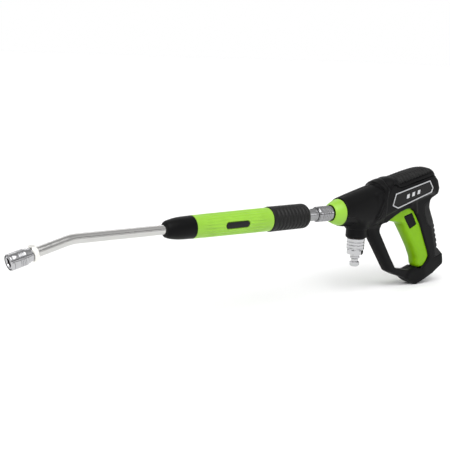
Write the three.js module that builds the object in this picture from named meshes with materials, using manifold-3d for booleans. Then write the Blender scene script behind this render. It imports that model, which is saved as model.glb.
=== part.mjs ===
// A high-pressure washer gun with its bent lance: a clamshell pistol body with a closed finger
// guard, a pull valve, a swivelling hose inlet, a quick coupler, and a lance with a round grip and
// a second coupler at the tip for the spray nozzle.
import * as THREE from "three";
import Module from "manifold-3d";
import { mergeVertices } from "three/addons/utils/BufferGeometryUtils.js";

const wasm = await Module();
wasm.setup();

// ---- Driving dimensions, in millimetres and degrees ----------------------------------------
// While the pieces are made, the barrel line is the X axis: +X runs to the back of the gun, the
// lance points to -X, and x = 0 is the front face of the shells.
const GAP = 0.3; // between pieces that touch
const RUN = 0.35; // radial clearance of pieces that turn or slide on each other
const SIDES = 16; // sides of a large turned piece
const SMALL_SIDES = 8; // sides of a small turned piece
const WALL = 3; // moulded wall of the shells

// Lance
const TUBE_R = 6.85;
const TUBE_WALL = 1.7;
const BEND_X = -474;
const BEND_ANGLE = 14.3;
const BEND_RADIUS = 70;
const TIP_TUBE = 54; // straight tube from the bend's corner to its end
const ROD_R = 9.8; // bare rod of the lance plug, in front of the coupler
const ROD_LENGTH = 24;
const GRIP_REAR_LENGTH = 74;
const GRIP_REAR_R = 19.2;
const GRIP_SLEEVE_LENGTH = 138;
const GRIP_SLEEVE_R = 17.9;
const GRIP_CAP_LENGTH = 46;
const GRIP_CAP_R = 16.4;
const GRIP_WALL = 3.4;
const GRIP_RIBS = 7;
const GRIP_PAD_LENGTH = 43;
const GRIP_PAD_HEIGHT = 10;
const GRIP_PAD_DEPTH = 1.6;

// Quick couplers: all lengths run back from the mouth
const OUTLET = {
  name: "outlet",
  bore: 7.2,
  body: 9.7,
  sleeve: 12.25,
  sleeveLength: 28,
  stroke: 3.5,
  balls: 4,
  ball: 1.6,
};
const TIP = {
  name: "tip",
  bore: 6.2,
  body: 8.6,
  sleeve: 11,
  sleeveLength: 27,
  stroke: 3.5,
  back: 5,
  balls: 4,
  ball: 1.5,
};
const MOUTH_X = -48; // mouth of the outlet coupler
const TIP_NUT_WIDTH = 20.6; // across flats
const TIP_NUT_LENGTH = 6.5;

// Collar
const COLLAR_LENGTH = 18;
const COLLAR_FRONT_R = 14.8;
const COLLAR_REAR_R = 21.3;
const COLLAR_NECK_R = 17;
const COLLAR_FLANGE_R = 19.6;

// Valve
const VALVE_R = 13;
const VALVE_FRONT = 8;
const VALVE_BACK = 84;
const CHAMBER_R = 7.3;
const SEAT_X = 34.3;
const SEAT_LENGTH = 4;
const SEAT_HOLE_R = 3.2;
const STEM_R = 2.6;
const STEM_HEAD_R = 4.8;
const STEM_END_X = 131;
const GLAND_X = 62;
const GLAND_R = 9.2;

// Inlet
const INLET_X = 43;
const BRANCH_R = 11.5;
const WATERWAY_R = 4.5;
const BOSS_R = 17.3;
const BOSS_BOTTOM = -44.5;
const SWIVEL_R = 14.5;
const SWIVEL_TOP = -47.5;
const SWIVEL_LENGTH = 16.5;
const INLET_HEX_WIDTH = 24;
const INLET_HEX_LENGTH = 7.7;
const NIPPLE_R = 7.85;
const NIPPLE_LENGTH = 20;

// Gun body: half widths
const BODY_HALF = 22.5;
const RIDGE_HALF = 20;
const GUARD_HALF = 10;
const HANDLE_HALF = 15.5;
const TRIGGER_HALF = HANDLE_HALF - WALL - GAP;

// Trigger
const PIVOT = { x: 132, z: 16 };
const PIN_R = 2.5;
const HUB_R = 7.5;
const TRIGGER_TRAVEL = 6.5;
const LOCK_TRAVEL = 2.5;

// Shell screws, driven from the right side into the left shell
const SCREW_R = 1.75;
const SCREW_HEAD_R = 3.4;
const SCREW_BOSS_R = 4.6;
const SCREW_HEAD_DEPTH = 2.2;
const SCREWS = [
  { x: 52, z: 25, half: 17 },
  { x: 100, z: 28, half: BODY_HALF },
  { x: 166, z: 33, half: BODY_HALF - 2 }, // under the badge
  { x: 211, z: 38, half: BODY_HALF - 1 },
  { x: 80, z: -32, half: GUARD_HALF },
  { x: 132, z: -110.5, half: GUARD_HALF },
  { x: 232, z: -104, half: HANDLE_HALF },
];

const NIPPLE_END = SWIVEL_TOP - SWIVEL_LENGTH - GAP - INLET_HEX_LENGTH - NIPPLE_LENGTH;

// ---- Materials -------------------------------------------------------------------------------
const finish = (color, roughness, metalness) =>
  new THREE.MeshStandardMaterial({ color, roughness, metalness });
const BLACK = finish(0x1a1a1a, 0.6, 0);
const RUBBER = finish(0x141414, 0.85, 0);
const GREEN = finish(0x86d222, 0.45, 0);
const STEEL = finish(0xc4c6c8, 0.25, 1);
const SATIN = finish(0xdcdcda, 0.5, 1);
const BRASS = finish(0xb08d4a, 0.35, 1);
const ALUMINIUM = finish(0xc8cacc, 0.45, 1);

// ---- Making and joining solids ---------------------------------------------------------------
function solidOf(geometry) {
  const loose = geometry.index ? geometry.toNonIndexed() : geometry;
  const bare = new THREE.BufferGeometry();
  bare.setAttribute("position", loose.getAttribute("position"));
  const merged = mergeVertices(bare, 1e-3);
  const corners = merged.index.array;
  const triVerts = [];
  for (let i = 0; i < corners.length; i += 3) {
    const [a, b, c] = [corners[i], corners[i + 1], corners[i + 2]];
    if (a !== b && b !== c && c !== a) triVerts.push(a, b, c);
  }
  const make = () =>
    new wasm.Manifold(
      new wasm.Mesh({
        numProp: 3,
        vertProperties: merged.attributes.position.array,
        triVerts: new Uint32Array(triVerts),
      }),
    );
  const solid = make();
  if (solid.volume() > 0) return solid;
  for (let i = 0; i < triVerts.length; i += 3)
    [triVerts[i + 1], triVerts[i + 2]] = [triVerts[i + 2], triVerts[i + 1]];
  return make();
}

const joined = (...solids) => solids.reduce((a, b) => a.add(b));
const cut = (solid, ...tools) => tools.reduce((a, b) => a.subtract(b), solid);

// A profile of [along, radius] points turned about the X axis.
function turnedX(profile, sides = SIDES) {
  const points = profile.map(([along, radius]) => new THREE.Vector2(radius, along));
  const lathe = new THREE.LatheGeometry(points, sides);
  return solidOf(lathe.rotateZ(-Math.PI / 2));
}

// The same about the Z axis, moved to the inlet line.
function turnedZ(profile, sides = SIDES, x = INLET_X) {
  const points = profile.map(([along, radius]) => new THREE.Vector2(radius, along));
  const lathe = new THREE.LatheGeometry(points, sides);
  return solidOf(lathe.rotateX(Math.PI / 2).translate(x, 0, 0));
}

// The closed profile of a plain ring, and of a solid round bar.
const ring = (from, to, inner, outer) => [
  [from, inner],
  [from, outer],
  [to, outer],
  [to, inner],
  [from, inner],
];
const bar = (from, to, radius) => [
  [from, 0],
  [from, radius],
  [to, radius],
  [to, 0],
];

// A round bar along Y.
function barY(x, z, from, to, radius, sides = SMALL_SIDES) {
  const cylinder = new THREE.CylinderGeometry(radius, radius, to - from, sides);
  return solidOf(cylinder.translate(x, (from + to) / 2, z));
}

function box(low, high) {
  const size = low.map((v, i) => high[i] - v);
  const mid = low.map((v, i) => (v + high[i]) / 2);
  return solidOf(new THREE.BoxGeometry(...size).translate(...mid));
}

// A hexagonal bar about the X axis, corners up and down.
function hexX(from, to, width) {
  const cylinder = new THREE.CylinderGeometry(
    width / Math.sqrt(3),
    width / Math.sqrt(3),
    to - from,
    6,
  );
  return solidOf(cylinder.rotateZ(Math.PI / 2).translate((from + to) / 2, 0, 0));
}

// A ring of round wire about the X axis.
function wireRing(x, radius, wire, sides = SIDES) {
  const torus = new THREE.TorusGeometry(radius, wire, 4, sides);
  return solidOf(torus.rotateY(Math.PI / 2).translate(x, 0, 0));
}

class Helix extends THREE.Curve {
  constructor(from, to, radius, turns) {
    super();
    Object.assign(this, { from, to, radius, turns });
  }
  getPoint(t, target = new THREE.Vector3()) {
    const angle = 2 * Math.PI * this.turns * t;
    return target.set(
      this.from + (this.to - this.from) * t,
      this.radius * Math.cos(angle),
      this.radius * Math.sin(angle),
    );
  }
}

// A coil spring about the X axis between two planes.
function spring(from, to, radius, wire, turns) {
  const section = new THREE.Shape();
  const sides = 4;
  for (let i = 0; i < sides; i++) {
    const angle = (2 * Math.PI * i) / sides;
    section[i ? "lineTo" : "moveTo"](wire * Math.cos(angle), wire * Math.sin(angle));
  }
  const path = new Helix(from + wire, to - wire, radius, turns);
  return solidOf(
    new THREE.ExtrudeGeometry(section, { extrudePath: path, steps: turns * 14, curveSegments: 1 }),
  );
}

// An outline in the side view, as a ring of points. A third number on a point is the radius of its
// rounded corner. grow moves every edge outwards, or inwards when it is negative, before rounding.
const ARC_STEPS = 2;
function outline(points, grow = 0) {
  const count = points.length;
  const isLeftHanded = THREE.ShapeUtils.area(points.map(([x, y]) => ({ x, y }))) < 0;
  const ordered = isLeftHanded ? points.toReversed() : points;
  const flat = ordered.map(([x, z]) => new THREE.Vector2(x, z));
  const normal = (i) => {
    const edge = flat[(i + 1) % count].clone().sub(flat[i]).normalize();
    return new THREE.Vector2(edge.y, -edge.x);
  };
  const corners = flat.map((here, i) => {
    const before = normal((i + count - 1) % count);
    const after = normal(i);
    const out = before.clone().add(after).multiplyScalar(grow / (1 + before.dot(after)));
    const convex = before.cross(after) > 0 ? 1 : -1;
    const radius = ordered[i][2] ? Math.max(ordered[i][2] + grow * convex, 0.3) : 0;
    return { at: here.clone().add(out), radius };
  });
  return corners.flatMap(({ at, radius }, i) => {
    if (!radius) return [at];
    const back = corners[(i + count - 1) % count].at.clone().sub(at);
    const on = corners[(i + 1) % count].at.clone().sub(at);
    const reach = Math.min(radius, back.length() / 2.1, on.length() / 2.1);
    const curve = new THREE.QuadraticBezierCurve(
      at.clone().add(back.setLength(reach)),
      at,
      at.clone().add(on.setLength(reach)),
    );
    return curve.getPoints(ARC_STEPS);
  });
}

// A closed skin through rings of equal count. Its ends are fans, or the given triangles.
function loft(rings, cap) {
  const count = rings[0].length;
  const middles = rings.length * count;
  const points = rings.flat();
  const faces = [];
  for (let i = 0; i + 1 < rings.length; i++)
    for (let j = 0; j < count; j++) {
      const [a, b] = [i * count + j, i * count + ((j + 1) % count)];
      faces.push(a, a + count, b + count, a, b + count, b);
    }
  [0, middles - count].forEach((start, last) => {
    const end = rings[last ? rings.length - 1 : 0];
    if (!cap)
      points.push(
        end.reduce((sum, p) => sum.add(p), new THREE.Vector3()).divideScalar(count),
      );
    const fan = end.map((_, j) => [middles + last - start, j, (j + 1) % count]);
    (cap ?? fan).forEach(([a, b, c]) => {
      const triangle = [a + start, b + start, c + start];
      faces.push(...(last ? triangle.reverse() : triangle));
    });
  });
  const geometry = new THREE.BufferGeometry().setFromPoints(points);
  geometry.setIndex(faces);
  return solidOf(geometry);
}

// A plate of that outline across the gun, from -half to +half in Y, with rounded edges.
const EDGE_STEPS = 2;
function slab(points, half, round = 0, grow = 0) {
  const steps = round ? EDGE_STEPS : 0;
  const layers = Array.from({ length: steps + 1 }, (_, i) => {
    const angle = steps ? (Math.PI / 2) * (i / steps) : Math.PI / 2;
    return {
      y: half + grow - round * (1 - Math.cos(angle)),
      ring: outline(points, grow - round * (1 - Math.sin(angle))),
    };
  });
  const cap = THREE.ShapeUtils.triangulateShape(layers[0].ring, []);
  const near = layers.map(({ y, ring }) => ring.map((p) => new THREE.Vector3(p.x, -y, p.y)));
  const far = layers.map(({ y, ring }) => ring.map((p) => new THREE.Vector3(p.x, y, p.y)));
  return loft([...near, ...far.reverse()], cap);
}

const root = new THREE.Group();

function node(name, solid, material, parent = root) {
  const made = solid.getMesh();
  const geometry = new THREE.BufferGeometry();
  const positions = new Float32Array(made.numVert * 3);
  for (let i = 0; i < made.numVert; i++)
    positions.set(made.vertProperties.subarray(i * made.numProp, i * made.numProp + 3), i * 3);
  geometry.setAttribute("position", new THREE.BufferAttribute(positions, 3));
  geometry.setIndex(new THREE.BufferAttribute(made.triVerts, 1));
  const mesh = new THREE.Mesh(geometry, material);
  mesh.name = name;
  parent.add(mesh);
  return mesh;
}

// ---- Quick coupler ---------------------------------------------------------------------------
// The mouth is at x = mouth and faces -X. The body carries balls that drop into a plug's groove,
// and a sprung sleeve over the body holds them in. The body's tail is added by the caller.
const BALL_BACK = 8; // from the mouth to the balls
const RING_BACK = 1.6; // from the mouth to the snap ring
const COUPLER_SPRING = 10; // room for the spring

function couplerSizes(c, mouth) {
  const sleeveBack = mouth + c.sleeveLength;
  const springFrom = mouth + BALL_BACK + c.stroke + 2.2;
  return {
    balls: mouth + BALL_BACK,
    ring: mouth + RING_BACK,
    oring: mouth + BALL_BACK + c.stroke + 3,
    sleeveBack,
    springFrom,
    springTo: springFrom + COUPLER_SPRING,
    ballCentre: c.body + RUN - c.ball - 0.1,
    counterbore: c.sleeve - 1.1,
    socketEnd: mouth + c.sleeveLength - 2,
  };
}

function couplerBody(c, mouth, tail) {
  const s = couplerSizes(c, mouth);
  const shoulder = s.counterbore - RUN;
  const blank = turnedX([
    [mouth + 0.4, c.bore],
    [mouth + 0.4, c.body - 0.8],
    [mouth + 1, c.body],
    [s.springTo, c.body],
    [s.springTo, shoulder],
    [s.sleeveBack + c.stroke + 0.6, shoulder],
    ...tail,
    [s.socketEnd, WATERWAY_R],
    [s.socketEnd, c.bore],
    [mouth + 0.4, c.bore],
  ]);
  const pockets = ballPlaces(c, mouth).map(([y, z]) => {
    const hole = new THREE.CylinderGeometry(c.ball + GAP, c.ball + GAP, 2 * c.ball + 1, 8);
    return solidOf(hole.rotateX(Math.atan2(z, y)).translate(s.balls, y, z));
  });
  const ringGroove = turnedX(ring(s.ring - 0.7, s.ring + 0.7, c.body - 0.7, c.body + 1));
  const sealGroove = turnedX(ring(s.oring - 1.1, s.oring + 1.1, c.bore - 0.5, c.bore + 1.2));
  return cut(blank, ...pockets, ringGroove, sealGroove);
}

function ballPlaces(c, mouth) {
  const { ballCentre } = couplerSizes(c, mouth);
  return Array.from({ length: c.balls }, (_, i) => {
    const angle = (2 * Math.PI * (i + 0.5)) / c.balls;
    return [ballCentre * Math.cos(angle), ballCentre * Math.sin(angle)];
  });
}

function coupler(c, mouth, tail, parent) {
  const s = couplerSizes(c, mouth);
  node(c.name + "_coupler_body", couplerBody(c, mouth, tail), STEEL, parent);
  ballPlaces(c, mouth).forEach(([y, z], i) => {
    const ball = new THREE.SphereGeometry(c.ball, 6, 5).translate(s.balls, y, z);
    node(`${c.name}_lock_ball_${i + 1}`, solidOf(ball), STEEL, parent);
  });
  const land = c.body + RUN;
  const grooves = [0.45, 0.57, 0.69].flatMap((share) => {
    const at = mouth + share * c.sleeveLength;
    return [
      [at, c.sleeve],
      [at + 0.9, c.sleeve - 0.8],
      [at + 1.8, c.sleeve],
    ];
  });
  const sleeve = turnedX([
    [mouth, s.counterbore],
    [mouth, c.sleeve - 1],
    [mouth + 1, c.sleeve],
    ...grooves,
    [s.sleeveBack - 0.6, c.sleeve],
    [s.sleeveBack, c.sleeve - 0.6],
    [s.sleeveBack, s.counterbore],
    [s.springFrom, s.counterbore],
    [s.springFrom, land],
    [s.balls - c.ball - 0.6, land],
    [s.balls - c.ball - 0.6, s.counterbore],
    [mouth, s.counterbore],
  ]);
  node(c.name + "_coupler_sleeve", sleeve, STEEL, parent);
  const room = s.counterbore * Math.cos(Math.PI / SIDES); // across the flats of the faceted bore
  const wire = (room - c.body) / 2 - 0.25;
  const coil = room - 0.1 - wire;
  node(
    c.name + "_coupler_spring",
    spring(s.springFrom + GAP, s.springTo - GAP, coil, wire, 4),
    STEEL,
    parent,
  );
  const snap = turnedX(ring(s.ring - 0.4, s.ring + 0.4, c.body - 0.4, s.counterbore - GAP));
  node(c.name + "_snap_ring", snap, STEEL, parent);
  node(c.name + "_coupler_oring", wireRing(s.oring, c.bore + 0.3, 0.75), RUBBER, parent);
}

// ---- Outlet: coupler in the nose, and the collar round it -------------------------------------
const OUTLET_SPIGOT_R = 8.5;
const OUTLET_SPIGOT_END = VALVE_FRONT + 16;
coupler(
  OUTLET,
  MOUTH_X,
  [
    [VALVE_FRONT - 3, couplerSizes(OUTLET, MOUTH_X).counterbore - RUN],
    [VALVE_FRONT - 3, OUTLET_SPIGOT_R],
    [OUTLET_SPIGOT_END, OUTLET_SPIGOT_R],
    [OUTLET_SPIGOT_END, WATERWAY_R],
  ],
  root,
);

const COLLAR_BORE = OUTLET.sleeve + 0.65;
const collar = turnedX([
  [-COLLAR_LENGTH, COLLAR_BORE],
  [-COLLAR_LENGTH, COLLAR_FRONT_R - 1],
  [1 - COLLAR_LENGTH, COLLAR_FRONT_R],
  [-COLLAR_LENGTH / 2, (COLLAR_FRONT_R + COLLAR_REAR_R) / 2 + 0.8],
  [-GAP, COLLAR_REAR_R],
  [-GAP, COLLAR_NECK_R],
  [WALL + GAP, COLLAR_NECK_R],
  [WALL + GAP, COLLAR_FLANGE_R],
  [2 * WALL + GAP, COLLAR_FLANGE_R],
  [2 * WALL + GAP, COLLAR_NECK_R - WALL],
  [0, COLLAR_BORE],
  [-COLLAR_LENGTH, COLLAR_BORE],
]);
node("nose_collar", collar, GREEN);

// ---- Valve -----------------------------------------------------------------------------------
const SEAT_END = SEAT_X + SEAT_LENGTH;
const valveBlank = joined(
  turnedX(bar(VALVE_FRONT, VALVE_BACK, VALVE_R)),
  turnedZ(bar(BOSS_BOTTOM - 1.5, 0, BRANCH_R)),
);
// The inlet spud under the branch, with the flange that the swivel turns on.
const SPUD_R = 6.6;
const SPUD_FLANGE_R = 9;
const SPUD_FLANGE = 2.5;
const SPUD_END = SWIVEL_TOP - SWIVEL_LENGTH + 4.2;
const spud = joined(
  turnedZ(bar(SPUD_END, BOSS_BOTTOM, SPUD_R)),
  turnedZ(bar(SPUD_END, SPUD_END + SPUD_FLANGE, SPUD_FLANGE_R)),
);
const valveBody = cut(
  joined(valveBlank, spud),
  turnedX(bar(VALVE_FRONT - 1, OUTLET_SPIGOT_END + 1, OUTLET_SPIGOT_R + GAP)),
  turnedX(bar(OUTLET_SPIGOT_END, SEAT_X, WATERWAY_R + 1)),
  turnedX(bar(SEAT_X - GAP, GLAND_X, CHAMBER_R)),
  turnedX(bar(GLAND_X - 0.5, VALVE_BACK + 1, GLAND_R + GAP)),
  turnedZ(bar(SPUD_END - 1, 0, WATERWAY_R), SMALL_SIDES),
);
node("valve_body", valveBody, BRASS);
node(
  "valve_seat",
  turnedX([
    [SEAT_X, SEAT_HOLE_R],
    [SEAT_X, CHAMBER_R - GAP],
    [SEAT_END, CHAMBER_R - GAP],
    [SEAT_END, SEAT_HOLE_R + 1],
    [SEAT_END - 1, SEAT_HOLE_R],
    [SEAT_X, SEAT_HOLE_R],
  ]),
  STEEL,
);
const STEM_CONE_X = SEAT_END + GAP;
const STEM_HEAD_BACK = STEM_CONE_X + 8;
const STEM_BUTTON = 4;
node(
  "valve_stem",
  turnedX(
    [
      [STEM_CONE_X, 0],
      [STEM_CONE_X, SEAT_HOLE_R - GAP],
      [STEM_CONE_X + 3, STEM_HEAD_R],
      [STEM_HEAD_BACK, STEM_HEAD_R],
      [STEM_HEAD_BACK, STEM_R],
      [STEM_END_X - STEM_BUTTON, STEM_R],
      [STEM_END_X - STEM_BUTTON, STEM_R + 2],
      [STEM_END_X, STEM_R + 2],
      [STEM_END_X, 0],
    ],
    SMALL_SIDES,
  ),
  STEEL,
);
node(
  "valve_spring",
  spring(STEM_HEAD_BACK + GAP, GLAND_X - GAP, (STEM_R + CHAMBER_R) / 2, 0.9, 4),
  STEEL,
);
const SEAL_FROM = GLAND_X + 3;
const SEAL_ROOM = 3;
node(
  "valve_gland",
  turnedX([
    [GLAND_X, STEM_R + RUN],
    [GLAND_X, GLAND_R],
    [VALVE_BACK + GAP, GLAND_R],
    [VALVE_BACK + GAP, VALVE_R - 1],
    [VALVE_BACK + 5, VALVE_R - 1],
    [VALVE_BACK + 5, STEM_R + RUN],
    [SEAL_FROM + SEAL_ROOM, STEM_R + RUN],
    [SEAL_FROM + SEAL_ROOM, STEM_R + 2.2],
    [SEAL_FROM, STEM_R + 2.2],
    [SEAL_FROM, STEM_R + RUN],
    [GLAND_X, STEM_R + RUN],
  ]),
  BRASS,
);
node(
  "stem_oring",
  wireRing(SEAL_FROM + SEAL_ROOM / 2, STEM_R + 1.15, 0.8, SMALL_SIDES),
  RUBBER,
);

// ---- Inlet: boss, swivel and hose nipple -------------------------------------------------------
const BOSS_SEAT = -27; // the shells' lower wall round the boss
node(
  "inlet_boss",
  turnedZ([
    [BOSS_BOTTOM, BRANCH_R + GAP],
    [BOSS_BOTTOM, BOSS_R - 2],
    [BOSS_BOTTOM + 0.7, BOSS_R - 0.6],
    [BOSS_BOTTOM + 2, BOSS_R],
    [BOSS_SEAT + WALL + GAP, BOSS_R],
    [BOSS_SEAT + WALL + GAP, BOSS_R + 2],
    [BOSS_SEAT + WALL + 3, BOSS_R + 2],
    [BOSS_SEAT + WALL + 3, BRANCH_R + GAP],
    [BOSS_BOTTOM, BRANCH_R + GAP],
  ]),
  BLACK,
);
const SWIVEL_BOTTOM = SWIVEL_TOP - SWIVEL_LENGTH;
const SWIVEL_LIP = 3;
const PLUG_SPIGOT = 3;
const swivelGrooves = [0.3, 0.65].flatMap((share) => {
  const at = SWIVEL_BOTTOM + share * SWIVEL_LENGTH;
  return [
    [at, SWIVEL_R],
    [at + 0.8, SWIVEL_R - 0.7],
    [at + 1.6, SWIVEL_R],
  ];
});
node(
  "inlet_swivel",
  turnedZ([
    [SWIVEL_BOTTOM, SPUD_FLANGE_R + RUN],
    [SWIVEL_BOTTOM, SWIVEL_R - 0.8],
    [SWIVEL_BOTTOM + 0.8, SWIVEL_R],
    ...swivelGrooves,
    [SWIVEL_TOP - 0.8, SWIVEL_R],
    [SWIVEL_TOP, SWIVEL_R - 0.8],
    [SWIVEL_TOP, SPUD_R + RUN],
    [SWIVEL_TOP - SWIVEL_LIP, SPUD_R + RUN],
    [SWIVEL_TOP - SWIVEL_LIP, SPUD_FLANGE_R + RUN],
    [SWIVEL_BOTTOM, SPUD_FLANGE_R + RUN],
  ]),
  STEEL,
);
node(
  "swivel_oring",
  solidOf(
    new THREE.TorusGeometry(SPUD_R + 1, 0.6, 4, SIDES).translate(
      INLET_X,
      0,
      SPUD_END + SPUD_FLANGE + 0.85,
    ),
  ),
  RUBBER,
);
const HEX_TOP = SWIVEL_BOTTOM - GAP;
const HEX_BOTTOM = HEX_TOP - INLET_HEX_LENGTH;
const inletHex = solidOf(
  new THREE.CylinderGeometry(
    INLET_HEX_WIDTH / Math.sqrt(3),
    INLET_HEX_WIDTH / Math.sqrt(3),
    INLET_HEX_LENGTH,
    6,
  )
    .rotateX(Math.PI / 2)
    .translate(INLET_X, 0, (HEX_TOP + HEX_BOTTOM) / 2),
);
const inletPlug = joined(
  inletHex,
  turnedZ(bar(HEX_TOP - 1, HEX_TOP + PLUG_SPIGOT, SPUD_FLANGE_R)),
  turnedZ([
    [NIPPLE_END, 0],
    [NIPPLE_END, NIPPLE_R - 1.2],
    [NIPPLE_END + 1.2, NIPPLE_R],
    [NIPPLE_END + 7.5, NIPPLE_R],
    [NIPPLE_END + 8.5, NIPPLE_R - 2.4],
    [NIPPLE_END + 12, NIPPLE_R - 2.4],
    [NIPPLE_END + 13.5, NIPPLE_R],
    [NIPPLE_END + 16, NIPPLE_R],
    [NIPPLE_END + 16, NIPPLE_R - 1],
    [HEX_BOTTOM + 1, NIPPLE_R - 1],
    [HEX_BOTTOM + 1, 0],
  ]),
);
node(
  "inlet_plug",
  cut(inletPlug, turnedZ(bar(NIPPLE_END - 1, HEX_TOP + PLUG_SPIGOT + 1, WATERWAY_R), SMALL_SIDES)),
  STEEL,
);

// ---- Gun body forms ----------------------------------------------------------------------------
// Sections of the nose and body from front to back: x, top, bottom, half width, squareness.
const NOSE_SECTIONS = [
  [0, 23.2, -22.4, 22.8, 2],
  [18, 28, -24.5, 23.6, 2.1],
  [40, 33.4, -26.6, 24.4, 2.2],
  [60, 38, -28, 24.6, 2.35],
  [80, 42, -27, 24.2, 2.5],
];
function noseForm(inset = 0) {
  const count = 16;
  const rings = NOSE_SECTIONS.map(([x, top, bottom, half, square]) =>
    Array.from({ length: count }, (_, j) => {
      const angle = (2 * Math.PI * j) / count;
      const corner = (v) => Math.sign(v) * Math.abs(v) ** (2 / square);
      const y = (half - inset) * corner(Math.cos(angle));
      const z = (top + bottom) / 2 + ((top - bottom) / 2 - inset) * corner(Math.sin(angle));
      return new THREE.Vector3(x, y, z);
    }),
  );
  return loft(rings);
}

// The lower edge of the wide body, the ledge under the ridge, and the ridge's own top line.
const BODY_OUTLINE = [
  [62, -22, 4],
  [90, -11],
  [148, 7.5],
  [198, 20, 10],
  [212, 13, 6],
  [220, 17.5, 5],
  [223, 29, 8],
  [217.5, 45, 8],
  [206, 54.5],
  [119, 35.6, 3],
  [104, 41, 3],
  [80, 35],
  [62, 28],
];
// Sections of the ridge that caps the body: x, top, and the ledge that it stands on.
const RIDGE_SECTIONS = [
  [75, 44, 40.7],
  [92, 51.6, 42],
  [104, 53.2, 43],
  [119, 54.4, 35.6],
  [150, 58.6, 42.4],
  [187, 64.6, 50.5],
  [200, 62.9, 51.5],
  [211, 56, 47],
];
function ridgeForm(grow = 0) {
  const count = 14;
  const last = RIDGE_SECTIONS.length - 1;
  const rings = RIDGE_SECTIONS.map(([x, top, ledge], i) =>
    Array.from({ length: count }, (_, j) => {
      const angle = (Math.PI * j) / (count - 1);
      const rise = Math.max(Math.sin(angle), 0) ** 0.75;
      const y = (RIDGE_HALF + grow) * Math.sign(Math.cos(angle)) * Math.abs(Math.cos(angle)) ** 0.6;
      const along = i === 0 ? x - grow : i === last ? x + grow : x;
      const base = ledge + GAP - grow;
      return new THREE.Vector3(along, y, base + (top + grow - base) * rise);
    }),
  );
  return loft(rings);
}
const HANDLE_FRONT = [
  [150, 14],
  [148, 0],
  [160, -4.5],
  [167.3, -15.2],
  [179.4, -35.2],
  [205.7, -88.3, 4],
];
const HANDLE_BACK = [
  [232.6, -76.5, 4],
  [229.7, -64],
  [220, -35],
  [210.3, -16.7, 10],
  [203.6, -3, 8],
  [205, 7, 8],
  [213, 16],
  [200, 30],
];
const FOOT = [
  [205.3, -97.2, 4],
  [191.2, -109, 4],
  [168, -112],
  [158, -124],
  [170, -132.5],
  [184, -138, 3],
  [222, -122.5],
  [247, -107.5, 3],
  [247.5, -89.5, 2.5],
];
const HANDLE_OUTLINE = [...HANDLE_FRONT, ...FOOT, ...HANDLE_BACK];
const GUARD_OUTLINE = [
  [54, -24],
  [59, -32],
  [67.6, -44.6],
  [87.6, -71.8],
  [114, -108, 6],
  [134, -116.5],
  [184, -133.8],
  [200, -120],
  [200, -106],
  [176, -100],
  [166.3, -102, 5],
  [150, -108.8],
  [132.5, -105, 5],
  [118, -84],
  [88, -37.5, 8],
  [90.5, -25, 8],
  [108, -21.5],
  [130, -20.5],
  [150, -8],
  [150, 6],
  [92, -10],
  [60, -20],
];
const REAR_PAD_OUTLINE = [
  [196, 6.5, 4],
  [186.5, -0.7, 4],
  [189.3, -14.7],
  [198.5, -32, 4],
  [208, -38.3, 4],
  [216.3, -62],
  [222, -80.6],
  [224.5, -93.5, 2],
  [249, -85.5],
  [262, -70],
  [262, -20],
  [225, 12],
];
const TRIGGER_OUTLINE = [
  [PIVOT.x - 8, PIVOT.z],
  [PIVOT.x, PIVOT.z + HUB_R, 5],
  [PIVOT.x + 9, PIVOT.z + 3, 4],
  [156, -3, 5],
  [164, -8, 4],
  [180, -28],
  [206, -80],
  [210, -90, 4],
  [205, -98, 4],
  [195, -109.5, 6],
  [186, -109, 4],
  [182.5, -103, 4],
  [180.5, -92.5],
  [171, -76],
  [160, -59],
  [148.5, -42.5],
  [138, -28, 4],
  [125, -25.5],
  [112, -22.5],
  [105.5, -17.5],
  [112, -8],
  [121, -5],
];
const LOCK_OUTLINE = [
  [141.4, -16],
  [161, -11.2],
  [174.5, -31.8],
  [158.3, -38.6],
];
const BADGE_OUTLINE = [
  [107, 26.2],
  [188.6, 44.2],
  [198, 31],
  [194.5, 23],
  [114.5, 1],
  [100.5, 6.5],
];
const RIDGE_PAD_OUTLINE = [
  [108, 58],
  [120, 40],
  [205, 60],
  [206, 70],
  [185, 72],
];
const BAND_OUTLINE = [
  [62, -12],
  [67.5, -4],
  [75.2, 11.4],
  [80.4, 25.7],
  [78, 37.4],
  [71, 45],
  [78, 48],
  [88.7, 50],
  [90, 35],
  [85, 17.3],
  [76, -5],
  [72.5, -13],
];
const BODY_ROUND = 4;
const HANDLE_ROUND = 6;
const GUARD_ROUND = 4;
const TRIGGER_ROUND = 3.6;

const bodyForm = (inset = 0) => slab(BODY_OUTLINE, BODY_HALF, BODY_ROUND, -inset);
const handleForm = (inset = 0) => slab(HANDLE_OUTLINE, HANDLE_HALF, HANDLE_ROUND, -inset);
const guardForm = () => slab(GUARD_OUTLINE, GUARD_HALF, GUARD_ROUND);

// ---- Trigger, its pin and its lock ---------------------------------------------------------------
const STEM_PLAY = 0.6; // the trigger tilts as it pulls, so its face stands off the button
const STEM_SLOT_X = STEM_END_X - STEM_BUTTON - STEM_PLAY;
const lockForm = (grow) => slab(LOCK_OUTLINE, TRIGGER_HALF + 5, 0, grow);
const triggerForm = (round, grow = 0) => slab(TRIGGER_OUTLINE, TRIGGER_HALF, round, grow);
const SLOT = STEM_R + 2 + 0.6;
const stemPocket = joined(
  box([STEM_SLOT_X, -SLOT, -SLOT], [STEM_END_X + 2, SLOT, PIVOT.z - HUB_R + 1]),
  box([PIVOT.x - 20, -STEM_R - RUN, -STEM_R - 1.4], [STEM_SLOT_X + 1, STEM_R + RUN, STEM_R + 2.4]),
);
const lockWindow = lockForm(GAP);
const TRIGGER_WALL = 2.6;
const triggerPocket = slab(
  TRIGGER_OUTLINE,
  TRIGGER_HALF - TRIGGER_WALL,
  0,
  -TRIGGER_WALL,
).intersect(box([100, -20, -120], [250, 20, -44])).translate([9, 0, 3]);
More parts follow.
